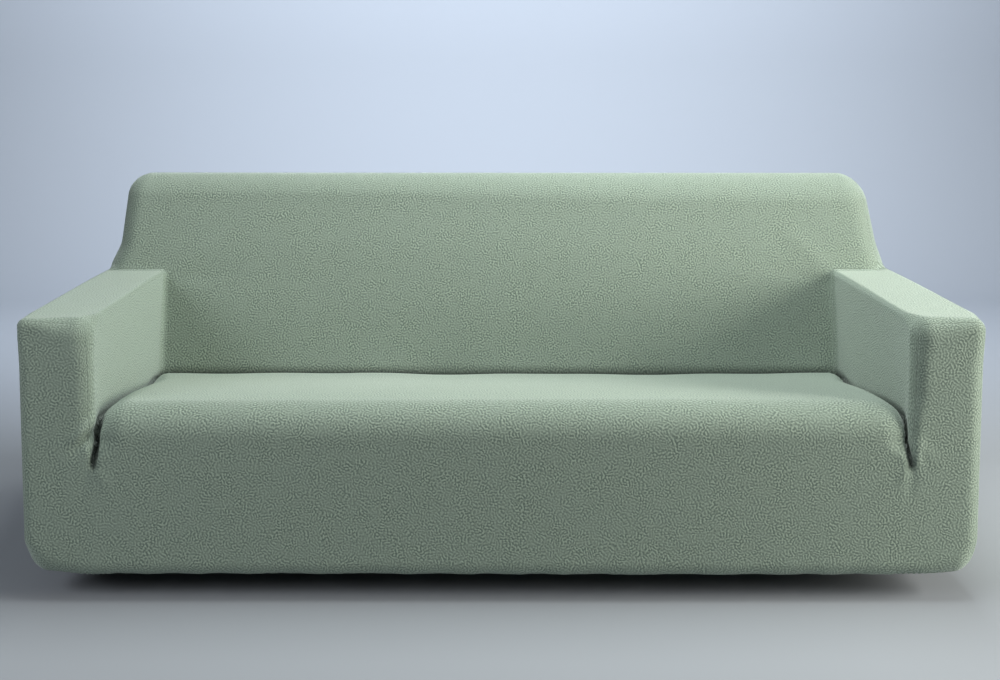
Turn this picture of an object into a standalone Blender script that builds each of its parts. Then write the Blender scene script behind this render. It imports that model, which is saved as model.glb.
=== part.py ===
"""Stretch-knit sofa slipcover, modelled in the shape in which it is worn.

Seven sewn panels: one front-and-seat panel whose ends rise as the arm fronts, two arm
wraps, the inside back with the top roll, two back gussets and the outside back.
Metres, +Z up, +X along the width, the front faces -Y. The origin is the middle of the
cover's footprint in the plane of the hem.

The cover hugs a set of rounded bodies (apron, seat, arms, back). Every panel starts as a
flat grid, is laid on the faces of those bodies and is then settled onto their common
rounded skin, so that neighbouring panels share their seam lines.
"""

import math

import bmesh
import bpy
import numpy as np

# Overall sizes, metres.
HALF_WIDTH = 1.034
DEPTH = 0.880
ARM_WIDTH = 0.158
ARM_TOP = 0.562
SEAT_TOP = 0.372
SEAT_FALL = 0.062
SEAT_REAR = 0.596
BACK_TOP = 0.807

# Rounding of the bodies under the cloth.
LONG_ROUND = 0.010
FRONT_TOP_ROUND = 0.042
FRONT_CORNER_ROUND_LEFT = 0.017
FRONT_CORNER_ROUND_RIGHT = 0.028
FRONT_INNER_ROUND = 0.034
FRONT_OUTER_ROUND_LEFT = 0.024
FRONT_OUTER_ROUND_RIGHT = 0.038
REAR_ROUND = 0.055
SEAT_ROUND = 0.070
SEAT_REAR_ROUND = 0.034
BACK_ROUND_LEFT = 0.054
BACK_ROUND_RIGHT = 0.072
HEM_ROUND = 0.035
HEM_CORNER_EXTRA = 0.022

# The back leans: its front face runs from BACK_FOOT at BACK_FOOT_HEIGHT to the rear.
BACK_FOOT = 0.600
BACK_FOOT_HEIGHT = 0.310
BACK_LEAN = 0.280
BACK_CROWN = 0.008
BACK_STEP_LEFT = 0.020
BACK_STEP_RIGHT = 0.008
BACK_TAPER_LEFT = 0.026
BACK_TAPER_RIGHT = 0.045

# The groove between arm and seat fades out at this height above the hem.
GROOVE_TIP = 0.236
GROOVE_FULL = 0.304
SEAT_LAP = 0.004
SHARP = 0.001

# Hidden ends of the bodies inside one another.
APRON_TOP = 0.220
BODY_FOOT = 0.100

# Reach of the fillet that the cloth bridges between two bodies.
ARM_REACH = 0.010
BACK_REACH = 0.030

# Stretches over which one value fades into another, as start and end.
FALL_SPAN = (0.06, 0.66)
FOOT_SPAN = (0.035, 0.080)
HEM_CORNER_SPAN = (HALF_WIDTH - 0.140, HALF_WIDTH - 0.010)
WALL_REAR_SPAN = (0.60, 0.80)
ARM_REAR_SPAN = (0.70, 0.82)
DECK_REAR_SPAN = (0.42, 0.56)
CREST_SPAN = (ARM_TOP - 0.11, ARM_TOP - 0.03)
BEHIND_FRONT_SPAN = (0.02, 0.09)
LEFT_TO_RIGHT_SPAN = (-0.5, 0.5)
GROOVE_SPAN = (GROOVE_TIP - 0.004, GROOVE_FULL)
ARM_GROOVE_SPAN = (GROOVE_TIP - 0.004, GROOVE_TIP + 0.082)
ACROSS_ARM_SPAN = (HALF_WIDTH - 0.70 * ARM_WIDTH, HALF_WIDTH - 0.15 * ARM_WIDTH)
CROWN_START_SPAN = (0.30, 0.50)
CROWN_END_SPAN = (0.60, 0.78)
STEP_SPAN = (0.0, 0.3)

# Unevenness of the worn cloth: slow swells all over and small gathers at the hem.
SWELL = 0.0015
GATHER = 0.0010
GATHER_HEIGHT = 0.070

# The cloth.
CLOTH = 0.0024
SEAM_GAP = 0.0003
HEM_TURN = math.radians(30.0)
COLOUR = (0.185, 0.235, 0.190, 1.0)
ROUGHNESS = 0.92

ARM_INSIDE = HALF_WIDTH - ARM_WIDTH
BOTTOM = -HEM_ROUND * (1.0 - math.cos(HEM_TURN))
TUCK_HEIGHT = 0.286
LEAN_START = 0.300
SETTLE_STEPS = 14
SETTLE_LIMIT = 0.008
SLOPE_STEP = 1.0e-4
WELD = 0.0001

# Places of the grid lines, as fractions of the stretch that they divide.
ACROSS_SEAT = (0.0, 0.012, 0.030, 0.052, 0.080, 0.14, 0.23, 0.32, 0.41, 0.50)
ACROSS_ARM = (0.0, 0.09, 0.20, 0.50, 0.80, 0.91, 1.0)
UP_ARM = (0.0, 0.18, 0.38, 0.60, 0.80, 0.92, 0.97, 1.0)
UP_BACK = (0.0, 0.16, 0.42, 0.68, 0.80, 0.90, 0.96, 1.0)
OVER_BACK = (0.0, 0.10, 0.25, 0.50, 0.75, 0.90, 1.0)
FRONT_HEIGHTS = (0.090, 0.160, GROOVE_TIP)
GROOVE_HEIGHTS = (0.258, 0.272, 0.286, 0.301)
ROLL_ANGLES = (18.0, 36.0, 54.0, 72.0, 90.0)
DECK_DEPTHS = (0.130, 0.220, 0.330, 0.440, 0.530)
REAR_ANGLES = (50.0,)
HEM_ANGLES = (30.0, 60.0, 90.0)


def smooth_step(span, value):
    """Rises from 0 at the span's start to 1 at its end, level at both."""
    t = np.clip((value - span[0]) / (span[1] - span[0]), 0.0, 1.0)
    return t * t * (3.0 - 2.0 * t)


def deck_fall(depth):
    """How far the seat's top has dropped at this distance behind the front."""
    return SEAT_FALL * smooth_step(FALL_SPAN, depth) / float(smooth_step(FALL_SPAN, SEAT_REAR))


def back_face(height):
    """Distance behind the front of the back's leaning front face."""
    return BACK_FOOT + BACK_LEAN * (height - BACK_FOOT_HEIGHT)


def back_half_width(height, side):
    """Half width of the back: flush with the arms at their top, narrower above."""
    rise = np.clip((height - ARM_TOP) / (BACK_TOP - ARM_TOP), 0.0, 1.0)
    taper = np.where(side < 0.0, BACK_TAPER_LEFT, BACK_TAPER_RIGHT)
    step = np.where(side < 0.0, BACK_STEP_LEFT, BACK_STEP_RIGHT)
    return HALF_WIDTH - step * smooth_step(STEP_SPAN, rise) - taper * rise


def box_distance(points, low, high, radius):
    """Distance to a box with rounded edges; the radius may change from point to point."""
    centre = (np.array(low) + np.array(high)) / 2.0
    half = (np.array(high) - np.array(low)) / 2.0
    over = np.abs(points - centre) - (half - radius[:, None])
    outside = np.linalg.norm(np.maximum(over, 0.0), axis=1)
    inside = np.minimum(over.max(axis=1), 0.0)
    return outside + inside - radius


def blend(first, second, share):
    """Mix of two values; share 0 gives the first."""
    return first + (second - first) * share


def corner_round(x, depth):
    """Radius of the cover's upright outer corners, front and rear."""
    side = smooth_step(LEFT_TO_RIGHT_SPAN, x)
    front = blend(FRONT_OUTER_ROUND_LEFT, FRONT_OUTER_ROUND_RIGHT, side)
    return blend(front, REAR_ROUND, smooth_step(WALL_REAR_SPAN, depth))


def apron_body(points):
    """Full-width lower body; its foot is rounded where the hem turns under."""
    x, depth, z = points.T
    foot = HEM_ROUND + HEM_CORNER_EXTRA * smooth_step(HEM_CORNER_SPAN, np.abs(x))
    radius = blend(foot, corner_round(x, depth), smooth_step(FOOT_SPAN, z))
    low = (-HALF_WIDTH, 0.0, BOTTOM)
    return box_distance(points, low, (HALF_WIDTH, DEPTH, APRON_TOP), radius)


def seat_body(points):
    """Seat block: a front roll, a top that falls to the rear, edges rounded at the arms."""
    x, depth, z = points.T
    lifted = np.column_stack((x, depth, z + deck_fall(depth)))
    full = blend(SEAT_ROUND, SEAT_REAR_ROUND, smooth_step(DECK_REAR_SPAN, depth))
    radius = blend(SEAT_LAP, full, smooth_step(GROOVE_SPAN, z))
    edge = ARM_INSIDE + SEAT_LAP
    return box_distance(lifted, (-edge, 0.0, BODY_FOOT), (edge, SEAT_REAR, SEAT_TOP), radius)


def arm_body(points):
    """Square arm with rounded edges; its inner edge is sharp below the groove's tip."""
    x, depth, z = points.T
    mirrored = np.column_stack((np.abs(x), depth, z))
    crest = smooth_step(CREST_SPAN, z)
    behind = smooth_step(BEHIND_FRONT_SPAN, depth)
    corner = np.where(x < 0.0, FRONT_CORNER_ROUND_LEFT, FRONT_CORNER_ROUND_RIGHT)
    outer = blend(corner_round(x, depth), corner, crest)
    outer = blend(outer, LONG_ROUND, behind * crest)
    outer = blend(outer, REAR_ROUND, smooth_step(ARM_REAR_SPAN, depth))
    opened = smooth_step(ARM_GROOVE_SPAN, z)
    inner = blend(FRONT_INNER_ROUND, FRONT_TOP_ROUND, crest)
    inner = blend(SHARP, blend(inner, LONG_ROUND, behind * crest), opened)
    radius = blend(inner, outer, smooth_step(ACROSS_ARM_SPAN, np.abs(x)))
    low = (ARM_INSIDE, 0.0, BODY_FOOT)
    return box_distance(mirrored, low, (HALF_WIDTH, DEPTH, ARM_TOP), radius)


def back_body(points):
    """Back block: its leaning, slightly crowned front face is straightened before measuring."""
    x, depth, z = points.T
    crown = BACK_CROWN * (1.0 - (x / HALF_WIDTH) ** 2) * smooth_step(CROWN_START_SPAN, z)
    crown = crown * (1.0 - smooth_step(CROWN_END_SPAN, z))
    thick = DEPTH - BACK_FOOT - BACK_LEAN * (BACK_TOP - BACK_FOOT_HEIGHT)
    straight = DEPTH - (DEPTH - depth) * thick / (DEPTH - back_face(z) + crown)
    even = x * HALF_WIDTH / back_half_width(z, x)
    moved = np.column_stack((even, straight, z))
    low = (-HALF_WIDTH, DEPTH - thick, BODY_FOOT)
    radius = blend(BACK_ROUND_LEFT, BACK_ROUND_RIGHT, smooth_step(LEFT_TO_RIGHT_SPAN, x))
    return box_distance(moved, low, (HALF_WIDTH, DEPTH, BACK_TOP), radius)


def with_slope(body, points):
    """Distance of one body and its slope by central differences."""
    slopes = []
    for axis in range(3):
        shift = np.zeros(3)
        shift[axis] = SLOPE_STEP
        slopes.append((body(points + shift) - body(points - shift)) / (2.0 * SLOPE_STEP))
    return body(points), np.column_stack(slopes)


def joined(first, second, reach):
    """Soft union: cloth bridges a hollow corner, and flush faces stay flush."""
    distance_a, slope_a = first
    distance_b, slope_b = second
    lengths = np.linalg.norm(slope_a, axis=1) * np.linalg.norm(slope_b, axis=1)
    turn = 0.5 * (1.0 - (slope_a * slope_b).sum(axis=1) / np.maximum(lengths, 1.0e-9))
    width = reach * turn + 1.0e-6
    share = np.clip(1.0 - np.abs(distance_a - distance_b) / width, 0.0, 1.0)
    weight = np.where(distance_a < distance_b, share / 2.0, 1.0 - share / 2.0)[:, None]
    distance = np.minimum(distance_a, distance_b) - width * share ** 2 / 4.0
    return distance, (1.0 - weight) * slope_a + weight * slope_b


def cover_form(points):
    """Distance to the form under the cloth and the slope of that distance."""
    lower = joined(with_slope(apron_body, points), with_slope(seat_body, points), 0.0)
    fronts = joined(lower, with_slope(arm_body, points), ARM_REACH)
    return joined(fronts, with_slope(back_body, points), BACK_REACH)


def settled(points):
    """Moves points onto the skin of the form, in short steps along its slope."""
    for _ in range(SETTLE_STEPS):
        distance, slope = cover_form(points)
        square = np.maximum((slope ** 2).sum(axis=1), 0.05)
        move = np.clip(distance / square, -SETTLE_LIMIT, SETTLE_LIMIT)
        points = points - move[:, None] * slope
    return points


def outward(points):
    """Unit normal of the form at each point."""
    slope = cover_form(points)[1]
    return slope / np.linalg.norm(slope, axis=1)[:, None]


def unevenness(points):
    """Small swells of worn cloth, in metres along the normal."""
    x, depth, z = points.T
    slow = np.sin(3.1 * x + 1.3 * np.sin(4.0 * depth)) * np.sin(5.2 * depth + 2.0 * z + 0.7)
    gather = np.sin(46.0 * x + 1.7 * np.sin(9.0 * x)) * np.sin(41.0 * depth + 0.4)
    near_hem = np.clip(1.0 - z / GATHER_HEIGHT, 0.0, 1.0)
    return SWELL * slow + GATHER * gather * near_hem


def edge_drop(x, radius):
    """How far the seat's rounded end has sunk below its profile at this x."""
    over = np.maximum(np.abs(x) - (ARM_INSIDE + SEAT_LAP - radius), 0.0)
    return radius - np.sqrt(np.maximum(radius ** 2 - over ** 2, 0.0))


def wall_rows():
    """Heights up an outside wall from the hem, with the inset of the turned-under hem."""
    rows = []
    for angle in HEM_ANGLES:
        turn = math.radians(angle)
        height = BOTTOM + HEM_ROUND * (1.0 - math.cos(turn))
        rows.append((height, HEM_ROUND * (1.0 - math.sin(turn))))
    rows += [(height, 0.0) for height in FRONT_HEIGHTS]
    rise = ARM_TOP - GROOVE_TIP
    rows += [(GROOVE_TIP + rise * share, 0.0) for share in UP_ARM[1:]]
    return rows


def seat_rows():
    """Profile of front and seat from the hem to the tuck.

    Each row is depth, height, the normal's depth and height parts and the edge radius.
    """
    rows = []
    for height, inset in wall_rows()[:len(HEM_ANGLES) + len(FRONT_HEIGHTS)]:
        rows.append((inset, height, -1.0, 0.0, SEAT_LAP))
    for height in GROOVE_HEIGHTS:
        opened = float(smooth_step(GROOVE_SPAN, height))
        rows.append((0.0, height, -1.0, 0.0, blend(SEAT_LAP, SEAT_ROUND, opened)))
    for angle in ROLL_ANGLES:
        turn = math.radians(angle)
        normal = (-math.cos(turn), math.sin(turn))
        depth = SEAT_ROUND * (1.0 + normal[0])
        height = SEAT_TOP - SEAT_ROUND * (1.0 - normal[1]) - float(deck_fall(depth))
        rows.append((depth, height, normal[0], normal[1], SEAT_ROUND))
    for depth in DECK_DEPTHS:
        narrow = float(smooth_step(DECK_REAR_SPAN, depth))
        radius = blend(SEAT_ROUND, SEAT_REAR_ROUND, narrow)
        rows.append((depth, SEAT_TOP - float(deck_fall(depth)), 0.0, 1.0, radius))
    for angle in REAR_ANGLES:
        turn = math.radians(angle)
        depth = SEAT_REAR - SEAT_REAR_ROUND * (1.0 - math.sin(turn))
        height = SEAT_TOP - float(deck_fall(depth)) - SEAT_REAR_ROUND * (1.0 - math.cos(turn))
        rows.append((depth, height, math.sin(turn), math.cos(turn), SEAT_REAR_ROUND))
    return rows


def seat_columns():
    """Places across the seat, closer together near its ends."""
    half = [-ARM_INSIDE + 2.0 * ARM_INSIDE * share for share in ACROSS_SEAT]
    return np.array(half + [-x for x in reversed(half[:-1])])


def seat_patch():
    """Front, roll and seat between the arms, as rows of points."""
    x = seat_columns()
    patch = []
    for depth, height, normal_depth, normal_height, radius in seat_rows():
        drop = edge_drop(x, radius)
        row = np.column_stack((x, depth - normal_depth * drop, height - normal_height * drop))
        patch.append(row)
    patch.append(tuck_row(x))
    return np.array(patch)


def tuck_row(x):
    """The line where the seat panel and the inside back are sewn, down in the tuck."""
    depth = np.full(len(x), back_face(TUCK_HEIGHT))
    return np.column_stack((x, depth, np.full(len(x), TUCK_HEIGHT)))


def groove_stations():
    """Depth and height of the seam down in the groove, from its tip to the tuck."""
    patch = seat_patch()
    first = len(HEM_ANGLES) + len(FRONT_HEIGHTS) - 1
    return patch[first:, -1, 1:]


def facing_patch(side):
    """Front of one arm from the hem to its top edge."""
    patch = []
    for height, inset in wall_rows():
        reach = ARM_WIDTH - inset
        x = side * (ARM_INSIDE + reach * np.array(ACROSS_ARM))
        patch.append(np.column_stack((x, np.full(len(x), inset), np.full(len(x), height))))
    return np.array(patch)


def leaned(depth, height):
    """Shifts a grid line near the back so that the last one follows the back's face."""
    last = back_face(TUCK_HEIGHT)
    share = np.clip((depth - LEAN_START) / (last - LEAN_START), 0.0, 1.0)
    return depth + share * (back_face(height) - last)


def arm_patches(side):
    """Inside, top and outside of one arm, with the stretch of outside below the back."""
    stations = groove_stations()
    inside = []
    top = []
    outside = []
    for depth, seam_height in stations:
        heights = seam_height + (ARM_TOP - seam_height) * np.array(UP_ARM)
        x = np.full(len(heights), side * ARM_INSIDE)
        inside.append(np.column_stack((x, leaned(depth, heights), heights)))
        line = leaned(depth, ARM_TOP)
        x = side * (ARM_INSIDE + ARM_WIDTH * np.array(ACROSS_ARM))
        top.append(np.column_stack((x, np.full(len(x), line), np.full(len(x), ARM_TOP))))
        outside.append(outside_line(side, line))
    rear = []
    start = back_face(ARM_TOP)
    for share in OVER_BACK:
        rear.append(outside_line(side, start + (DEPTH - start) * share))
    return [np.array(inside), np.array(top), np.array(outside), np.array(rear)]


def outside_line(side, depth):
    """One upright grid line on the outside of an arm; the hem's inset turns its ends in."""
    line = []
    for height, inset in wall_rows():
        share = depth / DEPTH
        line.append((side * (HALF_WIDTH - inset), depth + inset * (1.0 - 2.0 * share), height))
    return np.array(line)


def back_rows():
    """Depth and height up the back's front face and over its top."""
    lower = [TUCK_HEIGHT + (ARM_TOP - TUCK_HEIGHT) * share for share in UP_ARM]
    upper = [ARM_TOP + (BACK_TOP - ARM_TOP) * share for share in UP_BACK]
    face_low = [(back_face(height), height) for height in lower]
    face_high = [(back_face(height), height) for height in upper]
    start = back_face(BACK_TOP)
    over = [(start + (DEPTH - start) * share, BACK_TOP) for share in OVER_BACK]
    return face_low, face_high, over


def inside_back_patches():
    """Front face of the back between the arms, its ends above the arms, and the top roll."""
    face_low, face_high, over = back_rows()
    x = seat_columns()
    centre = [tuck_row(x)]
    for depth, height in face_low[1:] + face_high[1:] + over[1:]:
        centre.append(np.column_stack((x, np.full(len(x), depth), np.full(len(x), height))))
    patches = [np.array(centre)]
    for side in (-1.0, 1.0):
        wing = [wing_line(side, depth, height) for depth, height in face_high + over[1:]]
        patches.append(np.array(wing))
    return patches


def wing_line(side, depth, height):
    """Points from above the arm's inside to the end of the back, at one height."""
    reach = float(back_half_width(height, side)) - ARM_INSIDE
    x = side * (ARM_INSIDE + reach * np.array(ACROSS_ARM))
    return np.column_stack((x, np.full(len(x), depth), np.full(len(x), height)))


def gusset_patch(side):
    """End of the back above the arm."""
    patch = []
    for depth, height in back_rows()[1]:
        places = depth + (DEPTH - depth) * np.array(OVER_BACK)
        x = np.full(len(places), side * float(back_half_width(height, side)))
        patch.append(np.column_stack((x, places, np.full(len(places), height))))
    return np.array(patch)


def outside_back_patches():
    """Rear wall of the cover from the hem to the back's top edge."""
    x = seat_columns()
    rows = wall_rows() + [(height, 0.0) for _, height in back_rows()[1][1:]]
    centre = []
    for height, inset in rows:
        centre.append(np.column_stack((x, np.full(len(x), DEPTH - inset), np.full(len(x), height))))
    patches = [np.array(centre)]
    for side in (-1.0, 1.0):
        wing = []
        for height, inset in rows:
            reach = float(back_half_width(height, side)) - ARM_INSIDE - inset
            wide = side * (ARM_INSIDE + reach * np.array(ACROSS_ARM))
            depth = np.full(len(wide), DEPTH - inset)
            wing.append(np.column_stack((wide, depth, np.full(len(wide), height))))
        patches.append(np.array(wing))
    return patches


def laid_grid(bm, patch):
    """Lays one flat grid of the patch's size on the patch's points."""
    rows, columns = patch.shape[:2]
    grid = bmesh.ops.create_grid(bm, x_segments=columns - 1, y_segments=rows - 1, size=0.5)
    flat = patch.reshape(-1, 3)
    for vertex in grid["verts"]:
        column = round((vertex.co.x + 0.5) * (columns - 1))
        row = round((vertex.co.y + 0.5) * (rows - 1))
        vertex.co = flat[row * columns + column]


def draw_back_edges(bm):
    """Moves the panel's edge inward in its own surface by half the seam gap."""
    moves = {}
    for vertex in bm.verts:
        edges = [edge for edge in vertex.link_edges if edge.is_boundary]
        if not edges:
            continue
        inward = []
        for edge in edges:
            face = edge.link_faces[0]
            along = (edge.verts[1].co - edge.verts[0].co).normalized()
            side = face.normal.cross(along)
            middle = (edge.verts[0].co + edge.verts[1].co) / 2.0
            if side.dot(face.calc_center_median() - middle) < 0.0:
                side.negate()
            inward.append(side)
        agreement = inward[0].dot(inward[1])
        if agreement > -0.7:
            moves[vertex] = (inward[0] + inward[1]) / (1.0 + agreement)
        else:
            away = sum((edge.other_vert(vertex).co - vertex.co for edge in edges), vertex.co * 0.0)
            moves[vertex] = -away.normalized()
    for vertex, move in moves.items():
        vertex.co = vertex.co + move * (SEAM_GAP / 2.0)


def face_outward(bm):
    """Turns the panel's faces so that they point away from the form."""
    bm.normal_update()
    centres = np.array([face.calc_center_median() for face in bm.faces])
    normals = np.array([face.normal for face in bm.faces])
    if (outward(centres) * normals).sum() < 0.0:
        bmesh.ops.reverse_faces(bm, faces=bm.faces[:])
        bm.normal_update()


def make_panel(name, patches, material, collection):
    """Builds one panel: grids laid on the form, settled, given the cloth's thickness."""
    bm = bmesh.new()
    for patch in patches:
        laid_grid(bm, patch)
    bmesh.ops.remove_doubles(bm, verts=bm.verts[:], dist=WELD)
    bmesh.ops.recalc_face_normals(bm, faces=bm.faces[:])
    points = settled(np.array([vertex.co for vertex in bm.verts]))
    points = points + outward(points) * unevenness(points)[:, None]
    normals = outward(points)
    for vertex, point in zip(bm.verts, points):
        vertex.co = point
    face_outward(bm)
    draw_back_edges(bm)
    outer = list(bm.verts)
    inner_of = {tuple(vertex.co): -CLOTH * normal for vertex, normal in zip(outer, normals)}
    grown = bmesh.ops.extrude_face_region(bm, geom=bm.faces[:], use_keep_orig=True)
    for item in grown["geom"]:
        if isinstance(item, bmesh.types.BMVert):
            shift = inner_of[tuple(item.co)]
            item.co = [value + float(part) for value, part in zip(item.co, shift)]
    bmesh.ops.translate(bm, verts=bm.verts[:], vec=(0.0, -DEPTH / 2.0, 0.0))
    bmesh.ops.triangulate(bm, faces=bm.faces[:])
    bmesh.ops.recalc_face_normals(bm, faces=bm.faces[:])
    mesh = bpy.data.meshes.new(name)
    bm.to_mesh(mesh)
    bm.free()
    mesh.shade_smooth()
    mesh.materials.append(material)
    panel = bpy.data.objects.new(name, mesh)
    collection.objects.link(panel)
    return panel


def knit_material(name):
    """Matt sage stretch knit."""
    material = bpy.data.materials.new(name)
    material.use_nodes = True
    shader = material.node_tree.nodes["Principled BSDF"]
    shader.inputs["Base Color"].default_value = COLOUR
    shader.inputs["Roughness"].default_value = ROUGHNESS
    shader.inputs["Metallic"].default_value = 0.0
    return material


def main():
    """Clears the scene and makes the seven panels."""
    for item in list(bpy.data.objects):
        bpy.data.objects.remove(item)
    cover = bpy.data.collections.new("sofa_slipcover")
    bpy.context.scene.collection.children.link(cover)
    panels = {
        "front_and_seat": [seat_patch(), facing_patch(-1.0), facing_patch(1.0)],
        "arm_wrap_left": arm_patches(-1.0),
        "arm_wrap_right": arm_patches(1.0),
        "back_inside": inside_back_patches(),
        "back_gusset_left": [gusset_patch(-1.0)],
        "back_gusset_right": [gusset_patch(1.0)],
        "back_outside": outside_back_patches(),
    }
    for name, patches in panels.items():
        make_panel(name, patches, knit_material(name + "_knit"), cover)


main()
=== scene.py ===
"""Sofa slipcover in sage stretch-knit jacquard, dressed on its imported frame.

The cover hugs one rounded form: apron, seat roll, two square arms and a leaning back. The
form is a set of rounded boxes joined by fillets; every sewn panel is a numpy grid laid on
the boxes and settled onto the common skin, then given its folds, its turned-in seams and
the thickness of the cloth.
"""

from __future__ import annotations

import logging
import math
from dataclasses import dataclass, field
from enum import Enum
from typing import Callable, ClassVar, Sequence

import bpy
import numpy as np
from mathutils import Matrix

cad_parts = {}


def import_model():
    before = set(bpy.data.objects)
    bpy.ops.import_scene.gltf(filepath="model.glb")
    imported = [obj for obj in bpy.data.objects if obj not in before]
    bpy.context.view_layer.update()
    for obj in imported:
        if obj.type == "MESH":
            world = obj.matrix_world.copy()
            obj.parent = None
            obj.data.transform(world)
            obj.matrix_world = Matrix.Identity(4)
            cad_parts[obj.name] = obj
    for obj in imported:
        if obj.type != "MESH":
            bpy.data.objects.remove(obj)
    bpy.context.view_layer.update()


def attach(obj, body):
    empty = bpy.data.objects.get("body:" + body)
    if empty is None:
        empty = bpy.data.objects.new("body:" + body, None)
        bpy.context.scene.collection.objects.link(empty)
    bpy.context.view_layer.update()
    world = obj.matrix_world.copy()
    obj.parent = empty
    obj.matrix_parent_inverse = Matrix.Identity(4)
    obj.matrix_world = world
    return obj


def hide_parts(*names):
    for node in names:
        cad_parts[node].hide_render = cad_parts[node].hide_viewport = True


LOG = logging.getLogger("slipcover")

Array = np.ndarray
Place = tuple[float, float, float]
Span = tuple[float, float]
Numbers = tuple[float, ...]
Slope = tuple[Array, Array]

# Keeps a division from meeting zero.
TINY = 1.0e-9


# ---------------------------------------------------------------------------
# Small helpers
# ---------------------------------------------------------------------------


def linear(hex_colour: str) -> tuple[float, float, float, float]:
    """Turns an sRGB hex colour into linear RGBA.

    Args:
        hex_colour: six hex digits, with or without a leading #.

    Returns:
        Linear red, green, blue and an alpha of 1.
    """
    digits = hex_colour.lstrip("#")
    parts = []
    for start in (0, 2, 4):
        value = int(digits[start:start + 2], 16) / 255.0
        parts.append(value / 12.92 if value <= 0.04045 else ((value + 0.055) / 1.055) ** 2.4)
    return parts[0], parts[1], parts[2], 1.0


def smooth_step(span: Span, value: Array) -> Array:
    """Rises from 0 at the span's start to 1 at its end: t*t*(3 - 2t)."""
    t = np.clip((value - span[0]) / (span[1] - span[0]), 0.0, 1.0)
    return t * t * (3.0 - 2.0 * t)


def blend(first: Array | float, second: Array | float, share: Array | float) -> Array | float:
    """Mix of two values: first + (second - first) * share."""
    return first + (second - first) * share


def bell(away: Array, width: float) -> Array:
    """Fades from 1 at no distance: exp(-(away / width)^2)."""
    return np.exp(-(away / width) ** 2)


def line_of(x: Array | float, depth: Array | float, height: Array | float) -> Array:
    """Points from three coordinates; a single number holds for the whole line."""
    return np.column_stack(np.broadcast_arrays(x, depth, height))


def add_node(
    tree: bpy.types.NodeTree,
    kind: str,
    settings: dict[str, object] | None = None,
    links: dict[str, bpy.types.NodeSocket] | None = None,
) -> bpy.types.Node:
    """Adds one node, sets its values and links its inputs.

    Args:
        tree: the node tree.
        kind: the node's type name.
        settings: properties by name, or input values under "in:<socket name or number>".
        links: output sockets by the name or number of the input that they feed.

    Returns:
        The new node.
    """
    node = tree.nodes.new(kind)
    for name, value in (settings or {}).items():
        if name.startswith("in:"):
            key = name[3:]
            node.inputs[int(key) if key.isdigit() else key].default_value = value
        else:
            setattr(node, name, value)
    for name, socket in (links or {}).items():
        tree.links.new(socket, node.inputs[int(name) if name.isdigit() else name])
    return node


# ---------------------------------------------------------------------------
# The form under the cloth
# ---------------------------------------------------------------------------


class Side(Enum):
    """The two ends of the cover."""

    LEFT = -1.0
    RIGHT = 1.0


@dataclass(frozen=True)
class FormSizes:
    """Sizes of the rounded bodies under the cloth, in metres, the same as the solids'.

    A pair holds the value at the left end and at the right end. A name that ends in _span
    holds the two places between which one shape fades into another.
    """

    half_width: float = 1.034
    depth: float = 0.880
    arm_width: float = 0.158
    arm_top: float = 0.562
    seat_top: float = 0.372
    seat_fall: float = 0.062
    seat_rear: float = 0.596
    back_top: float = 0.807
    long_round: float = 0.010
    front_top_round: float = 0.042
    front_corner_round: Span = (0.017, 0.028)
    front_inner_round: float = 0.034
    front_outer_round: Span = (0.024, 0.038)
    rear_round: float = 0.055
    seat_round: float = 0.070
    seat_rear_round: float = 0.034
    back_round: Span = (0.054, 0.072)
    hem_round: float = 0.035
    hem_corner_extra: float = 0.022
    back_foot: float = 0.600
    back_foot_height: float = 0.310
    back_lean: float = 0.280
    back_crown: float = 0.008
    back_step: Span = (0.020, 0.008)
    back_taper: Span = (0.026, 0.045)
    groove_tip: float = 0.236
    groove_full: float = 0.304
    seat_lap: float = 0.004
    sharp: float = 0.001
    apron_top: float = 0.220
    body_foot: float = 0.100
    arm_reach: float = 0.010
    back_reach: float = 0.030
    tuck_height: float = 0.286
    lean_start: float = 0.300
    hem_turn: float = math.radians(30.0)
    ends_span: Span = (-0.5, 0.5)
    fall_span: Span = (0.06, 0.66)
    seat_narrow_span: Span = (0.42, 0.56)
    corner_span: Span = (0.60, 0.80)
    hem_span: Span = (0.035, 0.080)
    hem_corner_inset: Span = (0.140, 0.010)
    crest_drop: Span = (0.11, 0.03)
    behind_span: Span = (0.02, 0.09)
    arm_rear_span: Span = (0.70, 0.82)
    arm_edge_share: Span = (0.70, 0.15)
    groove_lead: float = 0.004
    groove_rise: float = 0.082
    crown_span: Span = (0.30, 0.50)
    crown_end_span: Span = (0.60, 0.78)
    back_step_span: Span = (0.0, 0.3)

    @property
    def arm_inside(self) -> float:
        """Distance from the middle to an arm's inner face."""
        return self.half_width - self.arm_width

    @property
    def bottom(self) -> float:
        """Height at which the hem's rounding would end if the cloth went on."""
        return -self.hem_round * (1.0 - math.cos(self.hem_turn))

    @property
    def groove_span(self) -> Span:
        """Heights between which the groove beside the seat opens."""
        return self.groove_tip - self.groove_lead, self.groove_full

    @property
    def lean_end(self) -> float:
        """Depth of the back's face at the height of the tuck."""
        return self.back_foot + self.back_lean * (self.tuck_height - self.back_foot_height)


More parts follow.
